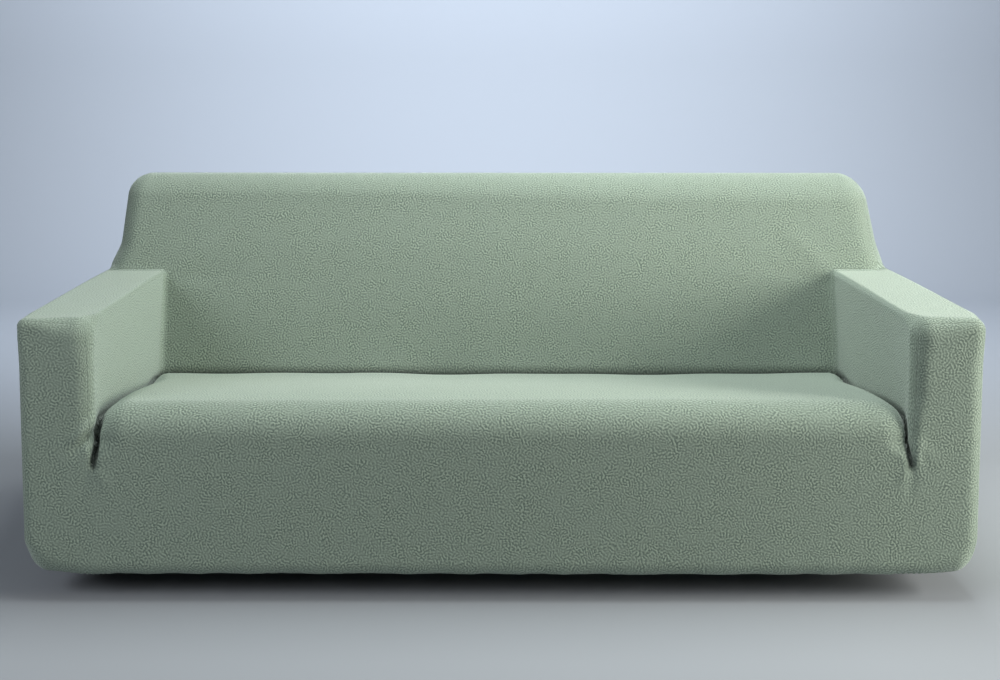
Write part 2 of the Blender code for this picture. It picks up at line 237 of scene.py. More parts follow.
class CoverForm:
    """Distance field of the form under the cloth, in x, depth behind the front, and z."""

    slope_step: float = 1.0e-4
    settle_steps: int = 16
    settle_limit: float = 0.008
    least_slope: float = 0.05
    least_fillet: float = 1.0e-6

    def __init__(self, sizes: FormSizes) -> None:
        """Keeps the sizes.

        Args:
            sizes: the sizes of the bodies.
        """
        self.s = sizes

    def deck_fall(self, depth: Array) -> Array:
        """Drop of the seat's top at a depth: fall * step(depth) / step(seat's rear)."""
        whole = float(smooth_step(self.s.fall_span, self.s.seat_rear))
        return self.s.seat_fall * smooth_step(self.s.fall_span, depth) / whole

    def back_face(self, height: Array) -> Array:
        """Depth of the back's leaning face: foot + lean * (height - foot height)."""
        return self.s.back_foot + self.s.back_lean * (height - self.s.back_foot_height)

    def back_half_width(self, height: Array, side: Array) -> Array:
        """Half width of the back: flush with the arms at their top, narrower above.

        half = half width - step * smooth step(rise) - taper * rise, with rise from 0 at the
        arms' top to 1 at the back's top.

        Args:
            height: heights above the hem.
            side: anything below 0 on the left, above it on the right.

        Returns:
            The half widths.
        """
        rise = np.clip((height - self.s.arm_top) / (self.s.back_top - self.s.arm_top), 0.0, 1.0)
        taper = np.where(np.asarray(side) < 0.0, *self.s.back_taper)
        step = np.where(np.asarray(side) < 0.0, *self.s.back_step)
        return self.s.half_width - step * smooth_step(self.s.back_step_span, rise) - taper * rise

    def left_to_right(self, pair: Span, x: Array) -> Array:
        """A value that fades from the left end's to the right end's across the middle."""
        return blend(pair[0], pair[1], smooth_step(self.s.ends_span, x))

    def corner_round(self, x: Array, depth: Array) -> Array:
        """Radius of the upright outer corners, front and rear."""
        front = self.left_to_right(self.s.front_outer_round, x)
        return blend(front, self.s.rear_round, smooth_step(self.s.corner_span, depth))

    @staticmethod
    def box_distance(points: Array, low: Place, high: Place, radius: Array) -> Array:
        """Rounded box: |max(q, 0)| + min(max(q), 0) - r, with q = |p - centre| - (half - r).

        Args:
            points: where the distance is wanted.
            low: the box's lowest corner.
            high: its highest corner.
            radius: the rounding of its edges, for each point.

        Returns:
            Distances, below 0 inside the box.
        """
        centre = (np.array(low) + np.array(high)) / 2.0
        half = (np.array(high) - np.array(low)) / 2.0
        over = np.abs(points - centre) - (half - radius[:, None])
        outside = np.linalg.norm(np.maximum(over, 0.0), axis=1)
        return outside + np.minimum(over.max(axis=1), 0.0) - radius

    def apron(self, points: Array) -> Array:
        """Full-width lower body; its foot is rounded where the hem turns under.

        Args:
            points: where the distance is wanted.

        Returns:
            Distances to the body.
        """
        s = self.s
        x, depth, z = points.T
        reach = (s.half_width - s.hem_corner_inset[0], s.half_width - s.hem_corner_inset[1])
        foot = s.hem_round + s.hem_corner_extra * smooth_step(reach, np.abs(x))
        radius = blend(foot, self.corner_round(x, depth), smooth_step(s.hem_span, z))
        low = (-s.half_width, 0.0, s.bottom)
        return self.box_distance(points, low, (s.half_width, s.depth, s.apron_top), radius)

    def seat_edge_round(self, depth: Array | float) -> Array:
        """Radius of the seat's edges: that of the front roll, then that of its rear edge."""
        narrow = smooth_step(self.s.seat_narrow_span, depth)
        return blend(self.s.seat_round, self.s.seat_rear_round, narrow)

    def seat(self, points: Array) -> Array:
        """Seat block: a front roll, a top that falls to the rear, ends rounded at the arms.

        Args:
            points: where the distance is wanted.

        Returns:
            Distances to the body.
        """
        s = self.s
        x, depth, z = points.T
        lifted = np.column_stack((x, depth, z + self.deck_fall(depth)))
        radius = blend(s.seat_lap, self.seat_edge_round(depth), smooth_step(s.groove_span, z))
        edge = s.arm_inside + s.seat_lap
        low = (-edge, 0.0, s.body_foot)
        return self.box_distance(lifted, low, (edge, s.seat_rear, s.seat_top), radius)

    def arm(self, points: Array) -> Array:
        """Square arm with rounded edges; its inner edge is sharp below the groove's tip.

        Args:
            points: where the distance is wanted.

        Returns:
            Distances to the nearer arm.
        """
        s = self.s
        x, depth, z = points.T
        mirrored = np.column_stack((np.abs(x), depth, z))
        crest = smooth_step((s.arm_top - s.crest_drop[0], s.arm_top - s.crest_drop[1]), z)
        behind = smooth_step(s.behind_span, depth)
        corner = np.where(x < 0.0, *s.front_corner_round)
        outer = blend(self.corner_round(x, depth), corner, crest)
        outer = blend(outer, s.long_round, behind * crest)
        outer = blend(outer, s.rear_round, smooth_step(s.arm_rear_span, depth))
        opened = smooth_step((s.groove_tip - s.groove_lead, s.groove_tip + s.groove_rise), z)
        inner = blend(s.front_inner_round, s.front_top_round, crest)
        inner = blend(s.sharp, blend(inner, s.long_round, behind * crest), opened)
        near, far = s.arm_edge_share
        across = (s.half_width - near * s.arm_width, s.half_width - far * s.arm_width)
        radius = blend(inner, outer, smooth_step(across, np.abs(x)))
        low = (s.arm_inside, 0.0, s.body_foot)
        return self.box_distance(mirrored, low, (s.half_width, s.depth, s.arm_top), radius)

    def back(self, points: Array) -> Array:
        """Back block: its leaning, slightly crowned face is straightened before measuring.

        Args:
            points: where the distance is wanted.

        Returns:
            Distances to the body.
        """
        s = self.s
        x, depth, z = points.T
        crown = s.back_crown * (1.0 - (x / s.half_width) ** 2) * smooth_step(s.crown_span, z)
        crown = crown * (1.0 - smooth_step(s.crown_end_span, z))
        thick = s.depth - s.back_foot - s.back_lean * (s.back_top - s.back_foot_height)
        straight = s.depth - (s.depth - depth) * thick / (s.depth - self.back_face(z) + crown)
        even = x * s.half_width / self.back_half_width(z, x)
        moved = np.column_stack((even, straight, z))
        low = (-s.half_width, s.depth - thick, s.body_foot)
        radius = self.left_to_right(s.back_round, x)
        return self.box_distance(moved, low, (s.half_width, s.depth, s.back_top), radius)

    def with_slope(self, body: Callable[[Array], Array], points: Array) -> Slope:
        """Distance of one body and its slope: (f(p + h) - f(p - h)) / 2h along each axis.

        Args:
            body: the body's distance as a function of points.
            points: where both are wanted.

        Returns:
            The distances, and the slopes as one row of three for each point.
        """
        slopes = []
        for axis in range(3):
            shift = np.zeros(3)
            shift[axis] = self.slope_step
            rise = body(points + shift) - body(points - shift)
            slopes.append(rise / (2.0 * self.slope_step))
        return body(points), np.column_stack(slopes)

    def joined(self, first: Slope, second: Slope, reach: float) -> Slope:
        """Soft union: min(a, b) - w*share^2/4, with w in proportion to the turn between slopes.

        Args:
            first: distances and slopes of one body.
            second: distances and slopes of the other.
            reach: the fillet's width where the two meet head on.

        Returns:
            Distances and slopes of the union.
        """
        distance_a, slope_a = first
        distance_b, slope_b = second
        lengths = np.linalg.norm(slope_a, axis=1) * np.linalg.norm(slope_b, axis=1)
        turn = 0.5 * (1.0 - (slope_a * slope_b).sum(axis=1) / np.maximum(lengths, TINY))
        width = reach * turn + self.least_fillet
        share = np.clip(1.0 - np.abs(distance_a - distance_b) / width, 0.0, 1.0)
        weight = np.where(distance_a < distance_b, share / 2.0, 1.0 - share / 2.0)[:, None]
        distance = np.minimum(distance_a, distance_b) - width * share ** 2 / 4.0
        return distance, (1.0 - weight) * slope_a + weight * slope_b

    def measure(self, points: Array) -> Slope:
        """Distance to the whole form and its slope.

        Args:
            points: where both are wanted.

        Returns:
            The distances and the slopes.
        """
        apron = self.with_slope(self.apron, points)
        lower = self.joined(apron, self.with_slope(self.seat, points), 0.0)
        fronts = self.joined(lower, self.with_slope(self.arm, points), self.s.arm_reach)
        return self.joined(fronts, self.with_slope(self.back, points), self.s.back_reach)

    def settled(self, points: Array) -> Array:
        """Moves points onto the skin in short steps: p - clip(f / |slope|^2) * slope.

        Args:
            points: points near the skin.

        Returns:
            The points on the skin.
        """
        for _ in range(self.settle_steps):
            distance, slope = self.measure(points)
            square = np.maximum((slope ** 2).sum(axis=1), self.least_slope)
            move = np.clip(distance / square, -self.settle_limit, self.settle_limit)
            points = points - move[:, None] * slope
        return points

    def outward(self, points: Array) -> Array:
        """Unit normal of the form at each point: slope / |slope|."""
        slope = self.measure(points)[1]
        return slope / np.linalg.norm(slope, axis=1)[:, None]


# ---------------------------------------------------------------------------
# Flat grids of the panels, laid on the bodies
# ---------------------------------------------------------------------------


@dataclass(frozen=True)
class GridLines:
    """Places of the main grid lines: shares of a stretch, metres or degrees of a turn."""

    across_seat: Numbers = (0.0, 0.012, 0.030, 0.052, 0.080, 0.14, 0.23, 0.32, 0.41, 0.50)
    across_arm: Numbers = (0.0, 0.09, 0.20, 0.50, 0.80, 0.91, 1.0)
    up_arm: Numbers = (0.0, 0.18, 0.38, 0.60, 0.80, 0.92, 0.97, 1.0)
    up_back: Numbers = (0.0, 0.16, 0.42, 0.68, 0.80, 0.90, 0.96, 1.0)
    over_back: Numbers = (0.0, 0.10, 0.25, 0.50, 0.75, 0.90, 1.0)
    front_heights: Numbers = (0.090, 0.160, 0.236)
    groove_heights: Numbers = (0.258, 0.272, 0.286, 0.301)
    roll_angles: Numbers = (18.0, 36.0, 54.0, 72.0, 90.0)
    deck_depths: Numbers = (0.130, 0.220, 0.330, 0.440, 0.530)
    rear_angles: Numbers = (50.0,)
    hem_angles: Numbers = (30.0, 60.0, 90.0)


@dataclass
class Patch:
    """One grid of a panel: points by row and column, with its place in the cut cloth."""

    points: Array
    across: Array
    along: Array


class Pattern:
    """The cut of the cover: every panel's patches before they are settled."""

    fine_step: float = 0.0036
    wide_step: float = 0.0085
    narrow_stretch: float = 0.030
    rounding: float = 1.0e-6

    def __init__(self, form: CoverForm, lines: GridLines) -> None:
        """Keeps the form and the grid lines.

        Args:
            form: the form under the cloth.
            lines: places of the main grid lines.
        """
        self.form = form
        self.s = form.s
        self.lines = lines

    # -- main grid lines ----------------------------------------------------

    def wall_rows(self) -> list[Span]:
        """Heights up a wall from the hem; the hem's rows have inset r * (1 - sin turn).

        Returns:
            Height and inset of each row.
        """
        rows = []
        for angle in self.lines.hem_angles:
            turn = math.radians(angle)
            height = self.s.bottom + self.s.hem_round * (1.0 - math.cos(turn))
            rows.append((height, self.s.hem_round * (1.0 - math.sin(turn))))
        rows += [(height, 0.0) for height in self.lines.front_heights]
        rise = self.s.arm_top - self.s.groove_tip
        rows += [(self.s.groove_tip + rise * share, 0.0) for share in self.lines.up_arm[1:]]
        return rows

    def low_row_count(self) -> int:
        """Number of rows from the hem to the groove's tip."""
        return len(self.lines.hem_angles) + len(self.lines.front_heights)

    def seat_rows(self) -> list[Numbers]:
        """Profile of front and seat: flat walls and tops, joined by quarter circles.

        Returns:
            For each row its depth and height, its normal's depth and height, and the radius
            of the seat's edge beside it.
        """
        s = self.s
        rows = []
        for height, inset in self.wall_rows()[:self.low_row_count()]:
            rows.append((inset, height, -1.0, 0.0, s.seat_lap))
        for height in self.lines.groove_heights:
            opened = float(smooth_step(s.groove_span, height))
            rows.append((0.0, height, -1.0, 0.0, blend(s.seat_lap, s.seat_round, opened)))
        for angle in self.lines.roll_angles:
            turn = math.radians(angle)
            depth = s.seat_round * (1.0 - math.cos(turn))
            height = s.seat_top - s.seat_round * (1.0 - math.sin(turn))
            height -= float(self.form.deck_fall(depth))
            rows.append((depth, height, -math.cos(turn), math.sin(turn), s.seat_round))
        for depth in self.lines.deck_depths:
            height = s.seat_top - float(self.form.deck_fall(depth))
            rows.append((depth, height, 0.0, 1.0, float(self.form.seat_edge_round(depth))))
        for angle in self.lines.rear_angles:
            turn = math.radians(angle)
            depth = s.seat_rear - s.seat_rear_round * (1.0 - math.sin(turn))
            height = s.seat_top - float(self.form.deck_fall(depth))
            height -= s.seat_rear_round * (1.0 - math.cos(turn))
            rows.append((depth, height, math.sin(turn), math.cos(turn), s.seat_rear_round))
        return rows

    def seat_columns(self) -> Array:
        """Places the upright lines across the seat, closer together near its ends.

        Returns:
            Their x, from left to right.
        """
        inside = self.s.arm_inside
        half = [-inside + 2.0 * inside * share for share in self.lines.across_seat]
        return np.array(half + [-x for x in reversed(half[:-1])])

    def tuck_row(self, x: Array) -> Array:
        """The line down in the tuck where the seat and the inside back are sewn."""
        return line_of(x, self.s.lean_end, self.s.tuck_height)

    def seat_grid(self) -> Array:
        """Front, roll and seat; an end sinks by r - sqrt(r^2 - over^2) at radius r.

        Returns:
            The main grid, from the hem to the tuck.
        """
        x = self.seat_columns()
        edge = self.s.arm_inside + self.s.seat_lap
        grid = []
        for depth, height, normal_depth, normal_height, radius in self.seat_rows():
            over = np.maximum(np.abs(x) - (edge - radius), 0.0)
            drop = radius - np.sqrt(np.maximum(radius ** 2 - over ** 2, 0.0))
            grid.append(line_of(x, depth - normal_depth * drop, height - normal_height * drop))
        grid.append(self.tuck_row(x))
        return np.array(grid)

    def across_arm(self, side: Side, reach: float) -> Array:
        """Places from an arm's inside outwards, over a reach."""
        return side.value * (self.s.arm_inside + reach * np.array(self.lines.across_arm))

    def facing_grid(self, side: Side) -> Array:
        """Front of one arm from the hem to its top edge.

        Args:
            side: the arm.

        Returns:
            The main grid.
        """
        grid = []
        for height, inset in self.wall_rows():
            grid.append(line_of(self.across_arm(side, self.s.arm_width - inset), inset, height))
        return np.array(grid)

    def leaned(self, depth: float, height: Array | float) -> Array | float:
        """Shifts a grid line near the back so that the last one follows the back's face.

        Args:
            depth: the line's depth down at the seat.
            height: heights along the line.

        Returns:
            depth + share * lean, with share from 0 at the lean's start to 1 at the back.
        """
        last = self.s.lean_end
        share = np.clip((depth - self.s.lean_start) / (last - self.s.lean_start), 0.0, 1.0)
        return depth + share * (self.form.back_face(height) - last)

    def outside_line(self, side: Side, depth: float) -> Array:
        """One upright line on an arm's outside; the hem's inset turns its ends in.

        Args:
            side: the arm.
            depth: the line's depth above the hem.

        Returns:
            The line's points, from the hem up.
        """
        height, inset = np.array(self.wall_rows()).T
        turned = depth + inset * (1.0 - 2.0 * (depth / self.s.depth))
        return line_of(side.value * (self.s.half_width - inset), turned, height)

    def arm_grids(self, side: Side) -> list[Array]:
        """Inside, top and outside of one arm, and the stretch of outside below the back.

        Args:
            side: the arm.

        Returns:
            The four main grids.
        """
        s = self.s
        stations = self.seat_grid()[self.low_row_count() - 1:, -1, 1:]
        across = self.across_arm(side, s.arm_width)
        inside = []
        top = []
        outside = []
        for depth, seam_height in stations:
            heights = seam_height + (s.arm_top - seam_height) * np.array(self.lines.up_arm)
            leaned = self.leaned(depth, heights)
            inside.append(line_of(side.value * s.arm_inside, leaned, heights))
            line = float(self.leaned(depth, s.arm_top))
            top.append(line_of(across, line, s.arm_top))
            outside.append(self.outside_line(side, line))
        start = float(self.form.back_face(s.arm_top))
        places = start + (s.depth - start) * np.array(self.lines.over_back)
        rear = [self.outside_line(side, place) for place in places]
        return [np.array(inside), np.array(top), np.array(outside), np.array(rear)]

    def back_rows(self) -> tuple[list[Span], list[Span], list[Span]]:
        """Rows up the back's face and over its top.

        Returns:
            Depth and height of the rows below the arms' top, above it and over the top.
        """
        s = self.s
        lower = s.tuck_height + (s.arm_top - s.tuck_height) * np.array(self.lines.up_arm)
        upper = s.arm_top + (s.back_top - s.arm_top) * np.array(self.lines.up_back)
        start = float(self.form.back_face(s.back_top))
        over = start + (s.depth - start) * np.array(self.lines.over_back)
        face_low = [(float(self.form.back_face(height)), height) for height in lower]
        face_high = [(float(self.form.back_face(height)), height) for height in upper]
        return face_low, face_high, [(depth, s.back_top) for depth in over]

    def wing_row(self, side: Side, depth: float, height: float, inset: float = 0.0) -> Array:
        """Points from above an arm's inside to the end of the back, at one height.

        Args:
            side: the end of the back.
            depth: the row's depth.
            height: its height.
            inset: how far the hem's turn draws its outer end in.

        Returns:
            The row.
        """
        half = float(self.form.back_half_width(height, side.value))
        return line_of(self.across_arm(side, half - self.s.arm_inside - inset), depth, height)

    def back_inside_grids(self) -> list[Array]:
        """Face of the back between the arms, its ends above the arms, and the top roll.

        Returns:
            The main grids of the middle, the left end and the right end.
        """
        face_low, face_high, over = self.back_rows()
        x = self.seat_columns()
        rows = face_low[1:] + face_high[1:] + over[1:]
        centre = [self.tuck_row(x)] + [line_of(x, depth, height) for depth, height in rows]
        wings = []
        for side in Side:
            rows = [self.wing_row(side, depth, height) for depth, height in face_high + over[1:]]
            wings.append(np.array(rows))
        return [np.array(centre)] + wings

    def gusset_grid(self, side: Side) -> Array:
        """End of the back above the arm.

        Args:
            side: the end.

        Returns:
            The main grid.
        """
        grid = []
        for depth, height in self.back_rows()[1]:
            places = depth + (self.s.depth - depth) * np.array(self.lines.over_back)
            half = float(self.form.back_half_width(height, side.value))
            grid.append(line_of(side.value * half, places, height))
        return np.array(grid)

    def back_outside_grids(self) -> list[Array]:
        """Rear wall from the hem to the back's top edge.

        Returns:
            The main grids of the middle, the left end and the right end.
        """
        x = self.seat_columns()
        rows = self.wall_rows() + [(height, 0.0) for _, height in self.back_rows()[1][1:]]
        centre = [line_of(x, self.s.depth - inset, height) for height, inset in rows]
        wings = []
        for side in Side:
            wing = [self.wing_row(side, self.s.depth - inset, h, inset) for h, inset in rows]
            wings.append(np.array(wing))
        return [np.array(centre)] + wings

    # -- finer grids ----------------------------------------------------------

    def shares(self, line: Array) -> tuple[Array, Array]:
        """Divides each stretch of a line evenly.

        Args:
            line: points of the grid line that the stretches are measured on.

        Returns:
            The index of the stretch before each new point, and its share of that stretch.
        """
        lengths = np.linalg.norm(np.diff(line, axis=0), axis=1)
        steps = np.where(lengths < self.narrow_stretch, self.fine_step, self.wide_step)
        counts = np.maximum(np.ceil(lengths / steps - self.rounding), 1).astype(int)
        index = np.repeat(np.arange(len(counts)), counts)
        first = np.repeat(np.cumsum(counts) - counts, counts)
        share = (np.arange(counts.sum()) - first) / np.repeat(counts, counts)
        return np.append(index, len(counts) - 1), np.append(share, 1.0)

    def finer(self, grid: Array, row_line: Array, column_line: Array) -> Array:
        """Linear mix of the main grid at evenly divided rows and columns.

        Args:
            grid: points of the main grid, rows by columns.
            row_line: the line that the rows' stretches are measured on.
            column_line: the line that the columns' stretches are measured on.

        Returns:
            The finer grid.
        """
        index, share = self.shares(row_line)
        rows = blend(grid[index], grid[index + 1], share[:, None, None])
        index, share = self.shares(column_line)
        return blend(rows[:, index], rows[:, index + 1], share[None, :, None])

    @staticmethod
    def lengths_along(line: Array, start: float = 0.0) -> Array:
        """Running length of a line of points, from a start."""
        steps = np.linalg.norm(np.diff(line, axis=0), axis=1)
        return start + np.concatenate(([0.0], np.cumsum(steps)))

    def upright_patch(self, grid: Array, row_line: Array, column_line: Array, low: float) -> Patch:
        """A patch whose cloth runs across x and up its rows.

        Args:
            grid: points of the main grid.
            row_line: the line that the rows are divided on.
            column_line: the line that the columns are divided on.
            low: length of cloth below its first row.

        Returns:
            The finer patch; across is x, along is the running length of its rows.
        """
        fine = self.finer(grid, row_line, column_line)
        along = self.lengths_along(fine[:, fine.shape[1] // 2], low)
        return Patch(fine, fine[:, :, 0], np.repeat(along[:, None], fine.shape[1], axis=1))

    def wrap_patch(self, grid: Array, row_line: Array, column_line: Array, start: float,
                   back_to_front: bool) -> Patch:
        """A patch of an arm's wrap, whose rows run across the cloth from seam to hem.

        Args:
            grid: points of the main grid.
            row_line: the line that the rows are divided on.
            column_line: the line that the columns are divided on.
            start: cloth used before this patch's nearer edge.
            back_to_front: whether the columns run against the cloth, from the hem up.

        Returns:
            The finer patch; across is depth, along is the running length from the seam.
        """
        fine = self.finer(grid, row_line, column_line)
        line = fine[-1][::-1] if back_to_front else fine[-1]
        along = self.lengths_along(line, start)
        along = along[::-1] if back_to_front else along
        return Patch(fine, fine[:, :, 1], np.repeat(along[None, :], fine.shape[0], axis=0))

    def front_and_seat(self) -> list[Patch]:
        """Cuts the front-and-seat panel with its two arm facings.

        Returns:
            The seat's patch, then the left and the right facing.
        """
        seat = self.seat_grid()
        patches = [self.upright_patch(seat, seat[:, 0], seat[-1], 0.0)]
        low = self.low_row_count()
        for side in Side:
            facing = self.facing_grid(side)
            edge = seat[:, 0 if side is Side.LEFT else -1]
            line = np.concatenate((edge[:low], facing[low:, 0]))
            patches.append(self.upright_patch(facing, line, facing[-1], 0.0))
        return patches

    def arm_wrap(self, side: Side) -> list[Patch]:
        """Cuts one arm's wrap.

        Args:
            side: the arm.

        Returns:
            Patches of its inside, top and outside, and of the stretch below the back.
        """
        inside, top, outside, rear = self.arm_grids(side)
        stations = top[:, 0]
        wall = outside[-1]
        inside_patch = self.wrap_patch(inside, stations, inside[-1], 0.0, False)
        reach = float(inside_patch.along.max())
        top_patch = self.wrap_patch(top, stations, top[-1], reach, False)
        reach = float(top_patch.along.max())
        outside_patch = self.wrap_patch(outside, stations, wall, reach, True)
        rear_patch = self.wrap_patch(rear, rear[:, -1], wall, reach, True)
        return [inside_patch, top_patch, outside_patch, rear_patch]

    def back_inside(self) -> list[Patch]:
        """Cuts the inside back with the top roll.

        Returns:
            Patches of the middle, the left end and the right end.
        """
        centre, left, right = self.back_inside_grids()
        start = len(self.lines.up_arm) - 1
        patches = [self.upright_patch(centre, centre[:, 0], centre[-1], 0.0)]
        low = float(self.lengths_along(centre[:start + 1, 0])[-1])
        for wing in (left, right):
            line = centre[start:, 0]
            patches.append(self.upright_patch(wing, line, wing[0], low))
        return patches

    def back_gusset(self, side: Side) -> list[Patch]:
        """Cuts one end of the back.

        Args:
            side: the end.

        Returns:
            Its one patch, whose cloth runs across the depth.
        """
        grid = self.gusset_grid(side)
        patch = self.upright_patch(grid, grid[:, -1], grid[0], 0.0)
        return [Patch(patch.points, patch.points[:, :, 1], patch.along)]

    def back_outside(self) -> list[Patch]:
        """Cuts the rear wall.

        Returns:
            Patches of the middle, the left end and the right end.
        """
        centre, left, right = self.back_outside_grids()
        patches = [self.upright_patch(centre, centre[:, 0], centre[-1], 0.0)]
        for wing in (left, right):
            patches.append(self.upright_patch(wing, centre[:, 0], wing[0], 0.0))
        return patches


# ---------------------------------------------------------------------------
# The cloth
# ---------------------------------------------------------------------------


@dataclass(frozen=True)
class Fold:
    """One soft fold: a ridge or trough along a line, in x, depth behind the front, and z."""

    start: Place
    end: Place
    width: float
    rise: float
    depth_weight: float = 0.3
    ends: Span = (0.08, 0.92)
    bluntness: float = 0.7

    def height(self, points: Array) -> Array:
        """rise * exp(-(d / width)^2) * sin(pi * t)^bluntness, d being the way to the line.

        Depth counts for less in d, because the line runs straight past rounded edges. The
        share t of the line starts and ends a little inside, so the fold's ends aren't flat.

        Args:
            points: points of the cloth.

        Returns:
            How far the fold lifts each of them.
        """
        start = np.array(self.start)
        run = np.array(self.end) - start
        t = np.clip((points - start) @ run / (run @ run), 0.0, 1.0)
        nearest = start + t[:, None] * run
        distance = np.linalg.norm((points - nearest) * (1.0, self.depth_weight, 1.0), axis=1)
        fade = np.sin(math.pi * blend(self.ends[0], self.ends[1], t)) ** self.bluntness
        return self.rise * fade * bell(distance, self.width)


@dataclass(frozen=True)
class Wear:
    """How the worn cloth departs from the form: swells, gathers, folds and seams.

    The plain numbers in the sines are turns per metre and phases. They have no common
    measure, so that no swell, gather or pucker repeats.
    """

    swell: float = 0.0015
    hem_gather: float = 0.0010
    hem_gather_height: float = 0.070
    pleat: float = 0.0011
    pleat_pitch: float = 0.0105
    pleat_height: float = 0.020
    pleat_corner: Span = (0.885, 0.055)
    pleat_shares: Place = (0.12, 0.30, 0.75)
    seam_depth: float = 0.0003
    seam_width: float = 0.0045
    seam_pucker: float = 0.0002
    seam_pucker_pitch: float = 0.021
    seam_pucker_reach: float = 2.6
    crease_depth: float = 0.0070
    crease_width: float = 0.0085
    crease_span: Span = (0.228, 0.246)
    # Width of the painted shade along the tucked seams.
    crease_shade_width: float = 0.0075
    tuck_wave: float = 0.0020
    tuck_wave_width: float = 0.045
    tuck_line: Span = (0.593, 0.300)
    tuck_half_width: float = 0.85
    folds: tuple[Fold, ...] = (
        # Pull across the front of the arm from the left groove: a ridge between two troughs.
        Fold((-0.858, 0.012, 0.351), (-0.922, 0.000, 0.296), 0.0070, 0.0055),
        Fold((-0.862, 0.008, 0.330), (-0.914, 0.000, 0.274), 0.0090, -0.0085),
        Fold((-0.862, 0.014, 0.380), (-0.920, 0.000, 0.320), 0.0090, -0.0026),
        # Shorter pulls below the tips of the grooves.
        Fold((-0.878, 0.000, 0.250), (-0.846, 0.000, 0.196), 0.0100, 0.0020),
        Fold((-0.884, 0.000, 0.238), (-0.905, 0.000, 0.180), 0.0110, -0.0016),
        Fold((0.870, 0.004, 0.250), (0.852, 0.000, 0.204), 0.0070, 0.0018),
        Fold((0.884, 0.000, 0.236), (0.872, 0.000, 0.180), 0.0090, -0.0016),
        Fold((0.884, 0.004, 0.300), (0.925, 0.000, 0.262), 0.0090, 0.0018),
        # The seat's ends and the right arm's front edge swell and press the grooves into slits.
        Fold((0.889, 0.004, 0.376), (0.884, 0.004, 0.244), 0.0115, 0.0065),
        Fold((0.861, 0.014, 0.338), (0.863, 0.004, 0.260), 0.0115, 0.0042),
        Fold((-0.861, 0.014, 0.338), (-0.864, 0.004, 0.262), 0.0115, 0.0040),
        # Drag lines on the seat's ends, where the cloth goes down beside the arms.
        Fold((-0.800, 0.060, 0.360), (-0.862, 0.015, 0.300), 0.0140, 0.0022),
        Fold((-0.770, 0.110, 0.368), (-0.858, 0.100, 0.336), 0.0160, -0.0020),
        Fold((0.792, 0.064, 0.360), (0.860, 0.018, 0.298), 0.0140, 0.0024),
        Fold((0.776, 0.150, 0.366), (0.858, 0.135, 0.334), 0.0170, -0.0020),
        # Soft pulls on the back above the inner ends of the arms.
        Fold((-0.866, 0.670, 0.560), (-0.740, 0.690, 0.640), 0.0220, 0.0024),
        Fold((-0.850, 0.665, 0.540), (-0.700, 0.665, 0.560), 0.0200, -0.0018),
        Fold((0.866, 0.670, 0.562), (0.760, 0.700, 0.660), 0.0220, 0.0024),
        Fold((0.850, 0.665, 0.538), (0.690, 0.668, 0.575), 0.0200, -0.0018),
    )

    def unevenness(self, points: Array) -> Array:
        """Slow swells all over, sin * sin, and small gathers that fade out above the hem.

        Args:
            points: points of the cloth.

        Returns:
            How far it stands off.
        """
        x, depth, z = points.T
        slow = np.sin(3.1 * x + 1.3 * np.sin(4.0 * depth)) * np.sin(5.2 * depth + 2.0 * z + 0.7)
        gather = np.sin(46.0 * x + 1.7 * np.sin(9.0 * x)) * np.sin(41.0 * depth + 0.4)
        near_hem = np.clip(1.0 - z / self.hem_gather_height, 0.0, 1.0)
        return self.swell * slow + self.hem_gather * gather * near_hem

    def hem_pleats(self, points: Array) -> Array:
        """Fine pleats drawn in by the elastic, strongest near the front corners.

        height = pleat * share * sin(2 pi s / pitch) * (1 - z / pleat height)^1.5, with s the
        running place along the hem, and a share that is least, patchy or full at a corner.

        Args:
            points: points of the cloth.

        Returns:
            How far it stands off.
        """
        x, depth, z = points.T
        place = np.where(np.abs(x) > 1.0, depth, x) + 0.004 * np.sin(31.0 * x + 17.0 * depth)
        corner = bell(np.abs(x) - self.pleat_corner[0], self.pleat_corner[1])
        patchy = 0.5 + 0.5 * np.sin(7.3 * place + 1.1) * np.sin(2.9 * place + 0.4)
        least, more, most = self.pleat_shares
        share = least + more * patchy + most * corner
        fade = np.clip(1.0 - z / self.pleat_height, 0.0, 1.0) ** 1.5
        return self.pleat * share * fade * np.sin(2.0 * math.pi * place / self.pleat_pitch)

    def tuck_waves(self, points: Array) -> Array:
        """Slack near the tuck: uneven waves that fade away from the seam line.

        Args:
            points: points of the cloth.

        Returns:
            How far it stands off.
        """
        x, depth, z = points.T
        away = np.sqrt((depth - self.tuck_line[0]) ** 2 + (z - self.tuck_line[1]) ** 2)
        wave = np.sin(9.0 * x + 1.5 * np.sin(4.1 * x)) + 0.6 * np.sin(23.0 * x + 2.0)
        between_arms = np.abs(x) < self.tuck_half_width
        return self.tuck_wave * wave * bell(away, self.tuck_wave_width) * between_arms

    def seam_dip(self, points: Array, away: Array) -> Array:
        """The cloth turns in at a seam: -depth * exp(-(d / width)^2), a little puckered.

        Args:
            points: points of the cloth.
            away: their distances to the nearest seam.

        Returns:
            How far the cloth stands off, below 0 at the seam.
        """
        along = points.sum(axis=1)
        turns = 2.0 * math.pi / self.seam_pucker_pitch
        pucker = np.sin(along * turns + 2.0 * np.sin(along * 19.0))
        near = bell(away, self.seam_width)
        wide = bell(away, self.seam_pucker_reach * self.seam_width)
        return -self.seam_depth * near + self.seam_pucker * pucker * wide * (1.0 - near)

    def crease(self, points: Array, away: Array) -> Array:
        """Cloth tucked down beside and behind the seat: -depth * exp(-(d / width)^2)."""
        fade = smooth_step(self.crease_span, points[:, 2])
        return -self.crease_depth * fade * bell(away, self.crease_width)

